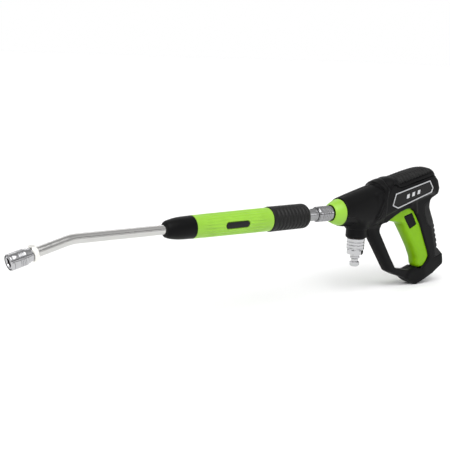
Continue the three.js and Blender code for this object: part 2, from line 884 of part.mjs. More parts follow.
const trigger = cut(
  triggerForm(TRIGGER_ROUND),
  triggerPocket,
  barY(PIVOT.x, PIVOT.z, -30, 30, PIN_R + 0.15),
  stemPocket,
  lockWindow,
);
node("trigger", trigger, GREEN);
const LOCK_LENGTH = 2 * TRIGGER_HALF - LOCK_TRAVEL;
const lockButton = lockForm(0).intersect(
  box([100, -TRIGGER_HALF, -60], [200, LOCK_LENGTH - TRIGGER_HALF, 20]),
);
node("lock_button", lockButton, BLACK);
const PIN_HALF = BODY_HALF - WALL - 1;
node("trigger_pin", barY(PIVOT.x, PIVOT.z, -PIN_HALF, PIN_HALF, PIN_R), STEEL);

// Everywhere that the trigger passes on its way in, with room round it.
function triggerSweep() {
  const room = 0.6;
  const steps = 6;
  const solids = Array.from({ length: steps }, (_, i) => {
    const angle = (-TRIGGER_TRAVEL * i) / (steps - 1);
    const still = triggerForm(0, room).translate([-PIVOT.x, 0, -PIVOT.z]);
    return still.rotate([0, angle, 0]).translate([PIVOT.x, 0, PIVOT.z]);
  });
  return joined(...solids);
}

// ---- Shells, cover and pads ----------------------------------------------------------------------
const PAD_DEPTH = 2.4;
const rearPadPrism = (grow) => slab(REAR_PAD_OUTLINE, 40, 0, grow);
const handleCore = (extra = 0) => handleForm(PAD_DEPTH - extra);
const rearPad = cut(handleForm().intersect(rearPadPrism(0)), handleCore(GAP));
const rearPadRoom = cut(handleForm(-1).intersect(rearPadPrism(GAP)), handleCore());

const ridgePadPrism = (grow) => slab(RIDGE_PAD_OUTLINE, 40, 0, grow);
const bandPrism = slab(BAND_OUTLINE, BODY_HALF + 2.6, 1.2);
const BAND_SINK = 1.2;
const bodyShape = joined(noseForm(), bodyForm());
const band = cut(bandPrism, noseForm(BAND_SINK), slab(BODY_OUTLINE, BODY_HALF - BAND_SINK));
const ridge = cut(ridgeForm(), joined(noseForm(BAND_SINK), bodyForm(0)));
const topCover = cut(
  joined(ridge, band),
  cut(ridgeForm(1).intersect(ridgePadPrism(GAP)), ridgeForm(-PAD_DEPTH)),
);
const topPad = cut(ridgeForm().intersect(ridgePadPrism(0)), ridgeForm(-PAD_DEPTH + GAP));

const bandRoom = joined(
  cut(slab(BAND_OUTLINE, BODY_HALF + 6, 0, GAP), noseForm(BAND_SINK + GAP),
    slab(BODY_OUTLINE, BODY_HALF - BAND_SINK - GAP)),
  ridgeForm(GAP),
);

const BADGE_DEPTH = 1.2;
const BADGE_PROUD = 0.6;
const BADGE_FRAME = 3;
function badge(side) {
  const plate = slab(BADGE_OUTLINE, BODY_HALF + BADGE_PROUD, 0);
  const frame = slab(BADGE_OUTLINE, BODY_HALF + 10, 0, -BADGE_FRAME);
  const inside = BODY_HALF - BADGE_DEPTH;
  const hollow = frame.intersect(box([0, BODY_HALF - 0.4, -20], [300, 60, 90]));
  const half = plate.intersect(box([0, inside, -20], [300, 60, 90]));
  const made = cut(half, hollow);
  return side < 0 ? made.mirror([0, 1, 0]) : made;
}
const badgeRoom = cut(
  slab(BADGE_OUTLINE, BODY_HALF + 5, 0, GAP),
  box([0, -BODY_HALF + BADGE_DEPTH + GAP, -20], [300, BODY_HALF - BADGE_DEPTH - GAP, 90]),
);

const SEAM = 0.15;
const noseCavity = noseForm(WALL).intersect(box([WALL, -60, -60], [81, 60, 80]));
const bodyCavity = cut(
  bodyForm(WALL + 0.6).intersect(box([66, -60, -60], [300, 60, 80])),
  ridgeForm(WALL),
);
const handleCavity = slab(
  [...HANDLE_FRONT, ...HANDLE_BACK],
  HANDLE_HALF - PAD_DEPTH,
  0,
  -WALL - PAD_DEPTH / 2,
);
const shellBlank = joined(noseForm(), bodyForm(), handleForm(), guardForm());
const hollows = joined(
  noseCavity,
  bodyCavity,
  handleCavity,
  triggerSweep(),
  turnedX(bar(VALVE_BACK, STEM_END_X + 3, SLOT)),
  turnedX(bar(-1, WALL + 1, COLLAR_NECK_R + GAP)),
  turnedX(bar(WALL, 2 * WALL + 2 * GAP, COLLAR_FLANGE_R + GAP)),
  turnedX(bar(VALVE_FRONT - GAP, VALVE_BACK + 6, VALVE_R + GAP)),
  turnedZ(bar(BOSS_BOTTOM, -15, BOSS_R + GAP)),
  turnedZ(bar(BOSS_SEAT + WALL, -10, BOSS_R + 2 + GAP)),
);
const screwBosses = SCREWS.map(({ x, z, half }) =>
  barY(x, z, -half + 1.5, half - 1.5, SCREW_BOSS_R, 8),
);
const pinBoss = barY(PIVOT.x, PIVOT.z, -BODY_HALF + 1, BODY_HALF - 1, PIN_R + 3);
const bossSolids = joined(...screwBosses, pinBoss).intersect(shellBlank);
const screwHoles = SCREWS.flatMap(({ x, z, half }) => [
  barY(x, z, -half + 4, half + 5, SCREW_R + GAP, 8),
  barY(x, z, half - SCREW_HEAD_DEPTH - GAP, half + 6, SCREW_HEAD_R + GAP, 10),
]);
const shells = cut(
  joined(cut(shellBlank, hollows), cut(bossSolids, triggerSweep())),
  rearPadRoom,
  bandRoom,
  badgeRoom,
  ...screwHoles,
  barY(PIVOT.x, PIVOT.z, -PIN_HALF - GAP, PIN_HALF + GAP, PIN_R + GAP),
);
node("left_shell", shells.intersect(box([-10, -60, -150], [300, -SEAM, 90])), BLACK);
node("right_shell", shells.intersect(box([-10, SEAM, -150], [300, 60, 90])), BLACK);
node("top_cover", topCover, BLACK);
node("top_grip_pad", topPad, RUBBER);
node("rear_grip_pad", rearPad, RUBBER);
node("badge_left", badge(-1), ALUMINIUM);
node("badge_right", badge(1), ALUMINIUM);

SCREWS.forEach(({ x, z, half }, i) => {
  const head = barY(x, z, half - SCREW_HEAD_DEPTH, half - 0.3, SCREW_HEAD_R, 10);
  const shank = barY(x, z, -half + 4 + GAP, half - SCREW_HEAD_DEPTH, SCREW_R, 8);
  const drive = box([x - 0.5, half - 1.4, z - 2], [x + 0.5, half + 1, z + 2]);
  node(`shell_screw_${i + 1}`, cut(joined(head, shank), drive), STEEL);
});

// ---- Lance ---------------------------------------------------------------------------------------
const ROD_BACK = MOUTH_X - 2.2;
const GRIP_BACK = ROD_BACK - ROD_LENGTH + 1;
const SLEEVE_BACK = GRIP_BACK - GRIP_REAR_LENGTH;
const SLEEVE_FRONT = SLEEVE_BACK - GRIP_SLEEVE_LENGTH;
const CAP_FRONT = SLEEVE_FRONT - GRIP_CAP_LENGTH;
const outletSizes = couplerSizes(OUTLET, MOUTH_X);
const PLUG_R = OUTLET.bore - RUN;
const PLUG_GROOVE_R = outletSizes.ballCentre - OUTLET.ball - GAP;
const PLUG_END = outletSizes.socketEnd - 1;
const TUBE_SOCKET = 20;
const PLUG_FRONT = GRIP_BACK - TUBE_SOCKET;
node(
  "lance_plug",
  turnedX([
    [PLUG_FRONT, TUBE_R + GAP],
    [PLUG_FRONT, ROD_R],
    [ROD_BACK - 3, ROD_R],
    [ROD_BACK - 2.6, ROD_R - 0.8],
    [ROD_BACK - 1.6, ROD_R - 0.8],
    [ROD_BACK - 1.2, ROD_R],
    [ROD_BACK, ROD_R],
    [ROD_BACK, PLUG_R],
    [outletSizes.balls - 2.6, PLUG_R],
    [outletSizes.balls - 1.9, PLUG_GROOVE_R],
    [outletSizes.balls + 1.9, PLUG_GROOVE_R],
    [outletSizes.balls + 2.6, PLUG_R],
    [outletSizes.oring - 1.2, PLUG_R],
    [outletSizes.oring - 0.8, PLUG_R - 0.6],
    [PLUG_END, PLUG_R - 0.6],
    [PLUG_END, PLUG_GROOVE_R - 2.2],
    [GRIP_BACK, PLUG_GROOVE_R - 2.2],
    [GRIP_BACK, TUBE_R + GAP],
    [PLUG_FRONT, TUBE_R + GAP],
  ]),
  STEEL,
);

// The tube's centre line: straight, one bend, straight.
function tubeStations() {
  const angle = THREE.MathUtils.degToRad(BEND_ANGLE);
  const reach = BEND_RADIUS * Math.tan(angle / 2);
  const stations = [{ x: GRIP_BACK - GAP, z: 0, turn: 0 }];
  const arc = 5;
  for (let i = 0; i <= arc; i++) {
    const turn = (angle * i) / arc;
    stations.push({
      x: BEND_X + reach - BEND_RADIUS * Math.sin(turn),
      z: -BEND_RADIUS * (1 - Math.cos(turn)),
      turn,
    });
  }
  stations.push({
    x: BEND_X - TIP_TUBE * Math.cos(angle),
    z: -TIP_TUBE * Math.sin(angle),
    turn: angle,
  });
  return stations;
}
function tubeBar(radius, over = 0) {
  const count = SIDES;
  const stations = tubeStations();
  stations[0].x += over;
  const last = stations.at(-1);
  last.x -= over * Math.cos(last.turn);
  last.z -= over * Math.sin(last.turn);
  return loft(
    stations.map(({ x, z, turn }) =>
      Array.from({ length: count }, (_, j) => {
        const angle = (2 * Math.PI * j) / count;
        const out = radius * Math.sin(angle);
        return new THREE.Vector3(
          x - out * Math.sin(turn),
          radius * Math.cos(angle),
          z + out * Math.cos(turn),
        );
      }),
    ),
  );
}
node("lance_tube", cut(tubeBar(TUBE_R), tubeBar(TUBE_R - TUBE_WALL, 1)), STEEL);

const bored = TUBE_R + GAP;
const SPIGOT = 8;
const spigotR = GRIP_SLEEVE_R - GRIP_WALL - GAP;
node(
  "grip_front_cap",
  turnedX([
    [CAP_FRONT, bored],
    [CAP_FRONT, GRIP_CAP_R - 7],
    [CAP_FRONT + 4, GRIP_CAP_R - 4.6],
    [CAP_FRONT + 16, GRIP_CAP_R - 1.2],
    [CAP_FRONT + 27, GRIP_CAP_R],
    [SLEEVE_FRONT - GAP, GRIP_CAP_R + 0.4],
    [SLEEVE_FRONT - GAP, spigotR],
    [SLEEVE_FRONT + SPIGOT, spigotR],
    [SLEEVE_FRONT + SPIGOT, bored],
    [CAP_FRONT, bored],
  ]),
  BLACK,
);
const PAD_X = (SLEEVE_FRONT + SLEEVE_BACK) / 2 + 2;
const GRIP_PAD_Z = 0;
function padPrism(grow) {
  const round = GRIP_PAD_HEIGHT / 2;
  const shape = [
    [PAD_X - GRIP_PAD_LENGTH / 2, GRIP_PAD_Z - round, round * 0.95],
    [PAD_X + GRIP_PAD_LENGTH / 2, GRIP_PAD_Z - round, round * 0.95],
    [PAD_X + GRIP_PAD_LENGTH / 2, GRIP_PAD_Z + round, round * 0.95],
    [PAD_X - GRIP_PAD_LENGTH / 2, GRIP_PAD_Z + round, round * 0.95],
  ];
  return slab(shape, 40, 0, grow);
}
const sleeveOuter = [
  [SLEEVE_FRONT, GRIP_SLEEVE_R - 1.1],
  [SLEEVE_FRONT + GRIP_SLEEVE_LENGTH / 2, GRIP_SLEEVE_R - 0.5],
  [SLEEVE_BACK, GRIP_SLEEVE_R],
];
const floorR = GRIP_SLEEVE_R - GRIP_PAD_DEPTH - 0.5;
const padRing = (inner, outer) => turnedX(ring(SLEEVE_FRONT + 20, SLEEVE_BACK - 20, inner, outer));
const gripSleeve = cut(
  turnedX([
    [SLEEVE_FRONT, GRIP_SLEEVE_R - GRIP_WALL],
    ...sleeveOuter,
    [SLEEVE_BACK, GRIP_SLEEVE_R - GRIP_WALL],
    [SLEEVE_FRONT, GRIP_SLEEVE_R - GRIP_WALL],
  ]),
  padPrism(GAP).intersect(padRing(floorR, GRIP_SLEEVE_R + 5)),
);
node("grip_sleeve", gripSleeve, GREEN);
const padBlank = padPrism(0).intersect(padRing(floorR + GAP, GRIP_SLEEVE_R - 0.4));
node("grip_pad_left", padBlank.intersect(box([-400, -40, -40], [0, 0, 40])), RUBBER);
node("grip_pad_right", padBlank.intersect(box([-400, 0, -40], [0, 40, 40])), RUBBER);

// The rear grip: a smooth lead-in, then ribs with valleys between them, then a rounded end.
const RIB_PITCH = 6.4;
const RIB_DEPTH = 1.3;
const RIB_START = SLEEVE_BACK + 14;
const ribProfile = Array.from({ length: GRIP_RIBS }, (_, i) => RIB_START + i * RIB_PITCH).flatMap(
  (x) => [
    [x, GRIP_REAR_R],
    [x + 1.5, GRIP_REAR_R - RIB_DEPTH],
    [x + 3, GRIP_REAR_R],
  ],
);
node(
  "grip_rear",
  turnedX([
    [SLEEVE_BACK - SPIGOT, bored],
    [SLEEVE_BACK - SPIGOT, spigotR],
    [SLEEVE_BACK + GAP, spigotR],
    [SLEEVE_BACK + GAP, GRIP_REAR_R - 0.6],
    [SLEEVE_BACK + 1.5, GRIP_REAR_R],
    ...ribProfile,
    [GRIP_BACK - 4, GRIP_REAR_R],
    [GRIP_BACK - 1, GRIP_REAR_R - 1.6],
    [GRIP_BACK, GRIP_REAR_R - 5],
    [GRIP_BACK, ROD_R + GAP],
    [PLUG_FRONT - GAP, ROD_R + GAP],
    [PLUG_FRONT - GAP, bored],
    [SLEEVE_BACK - SPIGOT, bored],
  ]),
  BLACK,
);
const FOAM_FROM = SLEEVE_FRONT + SPIGOT + GAP;
const FOAM_TO = SLEEVE_BACK - SPIGOT - GAP;
node("grip_core", turnedX(ring(FOAM_FROM, FOAM_TO, bored, GRIP_SLEEVE_R - GRIP_WALL - GAP)), RUBBER);

// ---- Lance tip: nut and nozzle coupler, on the bent line -------------------------------------------
const tipGroup = new THREE.Group();
tipGroup.position.set(BEND_X, 0, 0);
tipGroup.rotation.y = THREE.MathUtils.degToRad(-BEND_ANGLE);
root.add(tipGroup);
const NUT_BACK = -TIP_TUBE + 2;
const NUT_FRONT = NUT_BACK - TIP_NUT_LENGTH;
const NUT_THREAD_R = 6.5;
const tipMouth = NUT_FRONT - GAP - TIP.back - TIP.sleeveLength;
const NUT_SOCKET = -TIP_TUBE - GAP;
node(
  "tip_nut",
  cut(
    hexX(NUT_FRONT, NUT_BACK, TIP_NUT_WIDTH),
    turnedX(bar(NUT_SOCKET, NUT_BACK + 1, bored)),
    turnedX(bar(NUT_FRONT - 1, NUT_SOCKET + 0.1, WATERWAY_R)),
    turnedX(bar(NUT_FRONT - 1, NUT_FRONT + 3, NUT_THREAD_R + GAP)),
  ),
  SATIN,
  tipGroup,
);
const tipNeckR = 9;
coupler(
  TIP,
  tipMouth,
  [
    [NUT_FRONT - GAP, tipNeckR],
    [NUT_FRONT - GAP, NUT_THREAD_R],
    [NUT_FRONT + 2.6, NUT_THREAD_R],
    [NUT_FRONT + 2.6, WATERWAY_R],
  ],
  tipGroup,
);

// The finished part has its origin at the middle of its overall box.
root.updateMatrixWorld(true);
root.position.copy(new THREE.Box3().setFromObject(root).getCenter(new THREE.Vector3())).negate();

export default root;
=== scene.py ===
"""A high-pressure washer gun with its bent lance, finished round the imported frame.

Sizes are in millimetres on the working axes of the maker: the barrel line is the X axis, x = 0 is
the front face of the gun's shells, the lance points to -X, +Z is up and -Y is the gun's left side.
"""

import logging
import math
from dataclasses import dataclass, field
from enum import Enum
from typing import Any, Callable, Iterable, Sequence

import bpy
import numpy as np
from mathutils import Matrix, Vector


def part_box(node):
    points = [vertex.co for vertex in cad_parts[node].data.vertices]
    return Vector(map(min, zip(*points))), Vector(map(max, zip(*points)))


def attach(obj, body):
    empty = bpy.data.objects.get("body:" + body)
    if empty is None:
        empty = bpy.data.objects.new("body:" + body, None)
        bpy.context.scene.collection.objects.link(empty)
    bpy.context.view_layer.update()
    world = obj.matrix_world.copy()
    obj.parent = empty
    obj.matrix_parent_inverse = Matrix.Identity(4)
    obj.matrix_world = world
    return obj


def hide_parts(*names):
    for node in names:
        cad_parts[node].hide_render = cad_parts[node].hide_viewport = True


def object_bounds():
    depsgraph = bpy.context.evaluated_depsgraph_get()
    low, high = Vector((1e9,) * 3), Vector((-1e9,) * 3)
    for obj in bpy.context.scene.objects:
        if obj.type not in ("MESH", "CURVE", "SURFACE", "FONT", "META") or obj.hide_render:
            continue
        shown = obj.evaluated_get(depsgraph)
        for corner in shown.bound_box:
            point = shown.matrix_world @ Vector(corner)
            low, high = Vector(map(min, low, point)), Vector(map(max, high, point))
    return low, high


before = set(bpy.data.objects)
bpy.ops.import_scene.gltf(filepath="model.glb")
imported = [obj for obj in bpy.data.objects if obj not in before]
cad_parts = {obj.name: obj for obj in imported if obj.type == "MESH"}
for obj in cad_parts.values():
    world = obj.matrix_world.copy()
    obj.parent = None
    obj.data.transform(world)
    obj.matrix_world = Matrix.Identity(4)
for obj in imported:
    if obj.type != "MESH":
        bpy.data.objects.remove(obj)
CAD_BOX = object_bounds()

LOG = logging.getLogger("washer_gun")

Corner = tuple[float, ...]
Field = Callable[[np.ndarray, np.ndarray, np.ndarray], np.ndarray]
Shape = Callable[[np.ndarray, np.ndarray, np.ndarray], np.ndarray]
MM = 0.001


class Body(Enum):
    """The rigid bodies of the frame that pieces ride on."""

    GUN = "gun"
    TRIGGER = "trigger"
    LOCK = "lock"
    INLET = "inlet"
    OUTLET_SLEEVE = "outlet_sleeve"
    LANCE = "lance"
    TIP_SLEEVE = "tip_sleeve"


# ---- Where the working axes lie in the frame -----------------------------------------------------
def working_origin() -> Vector:
    """Finds the working origin in the frame, in metres.

    Returns:
        The point at the shells' front face on the barrel line.
    """
    shell_low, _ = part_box("left_shell")
    collar_low, collar_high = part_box("nose_collar")
    return Vector((shell_low.x, 0.0, (collar_low.z + collar_high.z) / 2))


ORIGIN = working_origin()


@dataclass(frozen=True)
class Line:
    """A turning axis: a point on it, its direction, and a direction square to it."""

    start: tuple[float, float, float]
    along: tuple[float, float, float]
    out: tuple[float, float, float]

    def place(self, run: np.ndarray, radius: np.ndarray, angle: np.ndarray) -> np.ndarray:
        """Gives the points at a run along the line, a radius from it and an angle round it.

        Args:
            run: distances along the line.
            radius: distances from the line.
            angle: angles round the line, from the out direction.

        Returns:
            An array of points, with x, y and z last.
        """
        along, out = np.array(self.along), np.array(self.out)
        side = np.cross(along, out)
        rise = radius * np.cos(angle)
        swing = radius * np.sin(angle)
        return (
            np.array(self.start)
            + run[..., None] * along
            + rise[..., None] * out
            + swing[..., None] * side
        )


BEND_X = -474.0
BEND = math.radians(14.3)
INLET_X = 43.0
BARREL = Line((0, 0, 0), (1, 0, 0), (0, 0, 1))
INLET = Line((INLET_X, 0, 0), (0, 0, 1), (1, 0, 0))
TIP = Line((BEND_X, 0, 0), (math.cos(BEND), 0, math.sin(BEND)), (-math.sin(BEND), 0, math.cos(BEND)))


# ---- Meshes ------------------------------------------------------------------------------------
def piece_of(
    name: str,
    points: np.ndarray,
    faces: Sequence[Sequence[int]],
    crease: float = 40.0,
) -> bpy.types.Object:
    """Makes a closed mesh object from points on the working axes.

    Args:
        name: the object's name.
        points: its points, in millimetres.
        faces: corners of each face, as indices.
        crease: edges that turn by more than this many degrees stay crisp.

    Returns:
        The object, with its faces pointing outwards.
    """
    mesh = bpy.data.meshes.new(name)
    placed = points * MM + np.array(ORIGIN)
    mesh.from_pydata(placed.tolist(), [], faces if isinstance(faces, list) else faces.tolist())
    mesh.update()
    if enclosed(mesh) < 0:
        mesh.flip_normals()
    mesh.shade_smooth()
    mesh.set_sharp_from_angle(angle=math.radians(crease))
    made = bpy.data.objects.new(name, mesh)
    bpy.context.scene.collection.objects.link(made)
    return made


def enclosed(mesh: bpy.types.Mesh) -> float:
    """Measures the volume that a mesh's faces enclose, negative if they point inwards."""
    mesh.calc_loop_triangles()
    corners = np.zeros(len(mesh.loop_triangles) * 3, np.int32)
    mesh.loop_triangles.foreach_get("vertices", corners)
    spots = np.zeros(len(mesh.vertices) * 3)
    mesh.vertices.foreach_get("co", spots)
    a, b, c = spots.reshape(-1, 3)[corners.reshape(-1, 3)].transpose(1, 0, 2)
    return float(np.einsum("ij,ij->i", a, np.cross(b, c)).sum() / 6)


def finish_piece(
    made: bpy.types.Object,
    body: Body,
    nodes: Iterable[str],
    material: bpy.types.Material,
) -> bpy.types.Object:
    """Gives a piece its material, its body and the nodes that it stands for.

    Args:
        made: the finished object.
        body: the body that it rides on.
        nodes: the nodes that it replaces.
        material: its material.

    Returns:
        The same object.
    """
    made.data.materials.clear()
    made.data.materials.append(material)
    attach(made, body.value)
    for node in nodes:
        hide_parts(node)
    LOG.info("%s: %d faces, rides on %s", made.name, len(made.data.polygons), body.value)
    return made


def eased(corners: Sequence[Corner], radius: float = 0.0, closed: bool = True, steps: int = 4) -> np.ndarray:
    """Rounds the corners of a flat outline, with a tight loop beside each round.

    Args:
        corners: the outline's corners, each with its own radius as a third number if it has one.
        radius: the radius of corners that state none.
        closed: whether the last corner joins the first.
        steps: straight pieces in each round.

    Returns:
        The points of the rounded outline.
    """
    spots = [np.array(c[:2], float) for c in corners]
    radii = [c[2] if len(c) > 2 else radius for c in corners]
    count = len(spots)
    made: list[np.ndarray] = []
    for i, (spot, bend) in enumerate(zip(spots, radii)):
        is_end = not closed and i in (0, count - 1)
        before, after = spots[i - 1] - spot, spots[(i + 1) % count] - spot
        reach_in, reach_out = np.linalg.norm(before), np.linalg.norm(after)
        if is_end or bend <= 0 or min(reach_in, reach_out) < 1e-6:
            made.append(spot)
            continue
        before, after = before / reach_in, after / reach_out
        half = math.acos(float(np.clip(before @ after, -1, 1))) / 2
        if half > math.pi / 2 - 0.02:
            made.append(spot)
            continue
        back = min(bend / math.tan(half), 0.46 * min(reach_in, reach_out))
        true_bend = back * math.tan(half)
        middle = before + after
        centre = spot + middle / np.linalg.norm(middle) * true_bend / math.sin(half)
        first, last = spot + before * back - centre, spot + after * back - centre
        swing = math.pi - 2 * half
        for k in range(steps + 1):
            share = k / steps
            a, b = math.sin((1 - share) * swing), math.sin(share * swing)
            made.append(centre + (first * a + last * b) / math.sin(swing))
    return np.array(made)


def flowing(knots: Sequence[Corner], spacing: float = 0.6) -> Callable[[np.ndarray], np.ndarray]:
    """Makes a smooth height curve through knots.

    Args:
        knots: (place, height) pairs in rising order of place.
        spacing: distance between the points of the curve's table.

    Returns:
        A function that gives the height at any place.
    """
    x, y = np.array(knots, float).T
    slope = np.gradient(y, x)
    table = np.arange(x[0], x[-1] + spacing, spacing)
    cell = np.clip(np.searchsorted(x, table) - 1, 0, len(x) - 2)
    width = x[cell + 1] - x[cell]
    t = np.clip((table - x[cell]) / width, 0, 1)
    h00, h10 = 2 * t**3 - 3 * t**2 + 1, t**3 - 2 * t**2 + t
    h01, h11 = -2 * t**3 + 3 * t**2, t**3 - t**2
    heights = (
        h00 * y[cell] + h10 * width * slope[cell] + h01 * y[cell + 1] + h11 * width * slope[cell + 1]
    )
    return lambda place: np.interp(place, table, heights)


def turned(
    profile: np.ndarray,
    line: Line,
    sides: int = 96,
    shape: Shape | None = None,
) -> tuple[np.ndarray, list[list[int]]]:
    """Turns a profile about a line.

    Args:
        profile: (along, radius) points of a closed outline, or an open one with both ends on the line.
        line: the turning axis.
        sides: points in each ring.
        shape: changes the radius by along, radius and angle, for flats, ribs and flutes.

    Returns:
        The points and the faces.
    """
    is_open = profile[0][1] < 1e-6 and profile[-1][1] < 1e-6
    rows = profile[1:-1] if is_open else profile
    angle = np.linspace(0, 2 * math.pi, sides, endpoint=False)[None, :]
    run = np.repeat(rows[:, :1], sides, 1)
    radius = np.repeat(rows[:, 1:2], sides, 1)
    if shape:
        radius = shape(run, radius, angle + 0 * run)
    points = line.place(run, radius, angle + 0 * run).reshape(-1, 3)
    count = len(rows)
    row = np.arange(count - 1 if is_open else count)
    a = (row[:, None] * sides + np.arange(sides)[None, :]).ravel()
    b = (row[:, None] * sides + (np.arange(sides)[None, :] + 1) % sides).ravel()
    c = (((row + 1) % count)[:, None] * sides + (np.arange(sides)[None, :] + 1) % sides).ravel()
    d = (((row + 1) % count)[:, None] * sides + np.arange(sides)[None, :]).ravel()
    faces = np.stack([a, b, c, d], 1).tolist()
    if is_open:
        ends = line.place(np.array([profile[0][0], profile[-1][0]]), np.zeros(2), np.zeros(2))
        first, last = len(points), len(points) + 1
        points = np.concatenate([points, ends])
        top = (count - 1) * sides
        for k in range(sides):
            after = (k + 1) % sides
            faces.append([first, after, k])
            faces.append([last, top + k, top + after])
    return points, faces


def hexagon(flats: float) -> Shape:
    """Makes the shape of a hexagon bar with chamfered corners.

    Args:
        flats: its width across the flats.

    Returns:
        A shape for turned pieces.
    """

    def shape(run: np.ndarray, radius: np.ndarray, angle: np.ndarray) -> np.ndarray:
        """Keeps each point inside the flats."""
        off = (angle + math.pi / 6) % (math.pi / 3) - math.pi / 6
        return np.minimum(radius, flats / 2 / np.cos(off))

    return shape


# ---- Forms given by a distance -------------------------------------------------------------------
def blend_in(a: np.ndarray, b: np.ndarray, soft: float) -> np.ndarray:
    """Joins two forms with a fillet.

    Args:
        a: distances from the first form.
        b: distances from the second.
        soft: the fillet's size.

    Returns:
        Distances from the joined form.
    """
    mix = np.clip(0.5 + 0.5 * (b - a) / soft, 0, 1)
    return b * (1 - mix) + a * mix - soft * mix * (1 - mix)


def trim_by(a: np.ndarray, b: np.ndarray, soft: float) -> np.ndarray:
    """Keeps what two forms share, with a rounded edge. Arguments as for blend_in."""
    return -blend_in(-a, -b, soft)


def ramp(value: np.ndarray, start: float, end: float) -> np.ndarray:
    """Goes smoothly from 0 at start to 1 at end."""
    t = np.clip((value - start) / (end - start), 0, 1)
    return t * t * (3 - 2 * t)


def slab(flat: np.ndarray, y: np.ndarray, half: np.ndarray | float, edge: float) -> np.ndarray:
    """Gives an outline a thickness across Y.

    Args:
        flat: distances from the outline, seen from the side.
        y: the places across.
        half: half of the thickness.
        edge: the radius of its edges.

    Returns:
        Distances from the slab.
    """
    side = np.abs(y) - half + edge
    rim = flat + edge
    return (
        np.minimum(np.maximum(side, rim), 0)
        + np.hypot(np.maximum(side, 0), np.maximum(rim, 0))
        - edge
    )


class Silhouette:
    """An outline seen from the side, held as a table of distances."""

    PITCH = 0.5
    MARGIN = 12.0

    def __init__(self, corners: Sequence[Corner], radius: float = 0.0) -> None:
        """Measures the table.

        Args:
            corners: the outline's corners.
            radius: the radius of corners that state none.
        """
        outline = eased(corners, radius, steps=6)
        self.low = outline.min(0) - self.MARGIN
        high = outline.max(0) + self.MARGIN
        x = np.arange(self.low[0], high[0], self.PITCH)[:, None]
        z = np.arange(self.low[1], high[1], self.PITCH)[None, :]
        nearest = np.full((x.size, z.size), 1e9)
        inside = np.zeros((x.size, z.size), bool)
        for (ax, az), (bx, bz) in zip(outline, np.roll(outline, -1, 0)):
            ex, ez = bx - ax, bz - az
            reach = max(ex * ex + ez * ez, 1e-12)
            t = np.clip(((x - ax) * ex + (z - az) * ez) / reach, 0, 1)
            nearest = np.minimum(nearest, (x - ax - t * ex) ** 2 + (z - az - t * ez) ** 2)
            if abs(ez) > 1e-12:
                spans = (az <= z) != (bz <= z)
                inside ^= spans & (x < ax + (z - az) / ez * ex)
        self.table = np.where(inside, -1, 1) * np.sqrt(nearest)

    def __call__(self, x: np.ndarray, z: np.ndarray) -> np.ndarray:
        """Gives the distance from the outline, negative inside it."""
        rows, columns = self.table.shape
        u = np.clip((x - self.low[0]) / self.PITCH, 0, rows - 1.001)
        v = np.clip((z - self.low[1]) / self.PITCH, 0, columns - 1.001)
        i, k = u.astype(int), v.astype(int)
        s, t = u - i, v - k
        lower = self.table[i, k] * (1 - s) + self.table[i + 1, k] * s
        upper = self.table[i, k + 1] * (1 - s) + self.table[i + 1, k + 1] * s
        return lower * (1 - t) + upper * t


def surfaced(
    form: Field,
    low: Sequence[float],
    high: Sequence[float],
    step: float,
) -> tuple[np.ndarray, np.ndarray]:
    """Lays a net of four-sided faces over a form.

    Args:
        form: gives the distance from the form at any place.
        low: the lowest corner of the region that holds it.
        high: the highest corner.
        step: the size of a face.

    Returns:
        The points and the faces.
    """
    axes = [np.arange(a - 1.5 * step, b + 2.5 * step, step) for a, b in zip(low, high)]
    grid = form(axes[0][:, None, None], axes[1][None, :, None], axes[2][None, None, :])
    grid = np.ascontiguousarray(np.broadcast_to(grid, [len(a) for a in axes]))
    inside = grid < 0
    cells = tuple(n - 1 for n in grid.shape)
    corners = [(i, j, k) for i in (0, 1) for j in (0, 1) for k in (0, 1)]
    count = sum(
        inside[i : i + cells[0], j : j + cells[1], k : k + cells[2]].astype(np.int8)
        for i, j, k in corners
    )
    live = np.argwhere((count > 0) & (count < 8))
    index = np.full(cells, -1, np.int64)
    index[tuple(live.T)] = np.arange(len(live))
    total, hits = np.zeros((len(live), 3)), np.zeros(len(live))
    for a in corners:
        for axis in range(3):
            if a[axis]:
                continue
            b = tuple(1 if n == axis else a[n] for n in range(3))
            va, vb = grid[tuple((live + a).T)], grid[tuple((live + b).T)]
            crossed = (va < 0) != (vb < 0)
            t = va[crossed] / (va[crossed] - vb[crossed])
            spot = live[crossed] + np.array(a, float)
            spot[:, axis] += t
            total[crossed] += spot
            hits[crossed] += 1
    starts = np.array([a[0] for a in axes])
    points = total / hits[:, None] * step + starts
    faces = []
    for axis in range(3):
        one, two = (axis + 1) % 3, (axis + 2) % 3
        ahead = [slice(None)] * 3
        behind = [slice(None)] * 3
        ahead[axis], behind[axis] = slice(1, None), slice(None, -1)
        change = inside[tuple(ahead)] != inside[tuple(behind)]
        spots = np.argwhere(change)
        keep = (spots[:, one] > 0) & (spots[:, two] > 0)
        keep &= (spots[:, one] < grid.shape[one] - 1) & (spots[:, two] < grid.shape[two] - 1)
        spots = spots[keep]
        ring = []
        for du, dv in ((0, 0), (-1, 0), (-1, -1), (0, -1)):
            cell = spots.copy()
            cell[:, one] += du
            cell[:, two] += dv
            ring.append(index[tuple(cell.T)])
        quads = np.stack(ring, 1)
        starts_inside = inside[tuple(spots.T)]
        quads[~starts_inside] = quads[~starts_inside][:, ::-1]
        faces.append(quads)
    return settled(form, points, step), np.concatenate(faces)


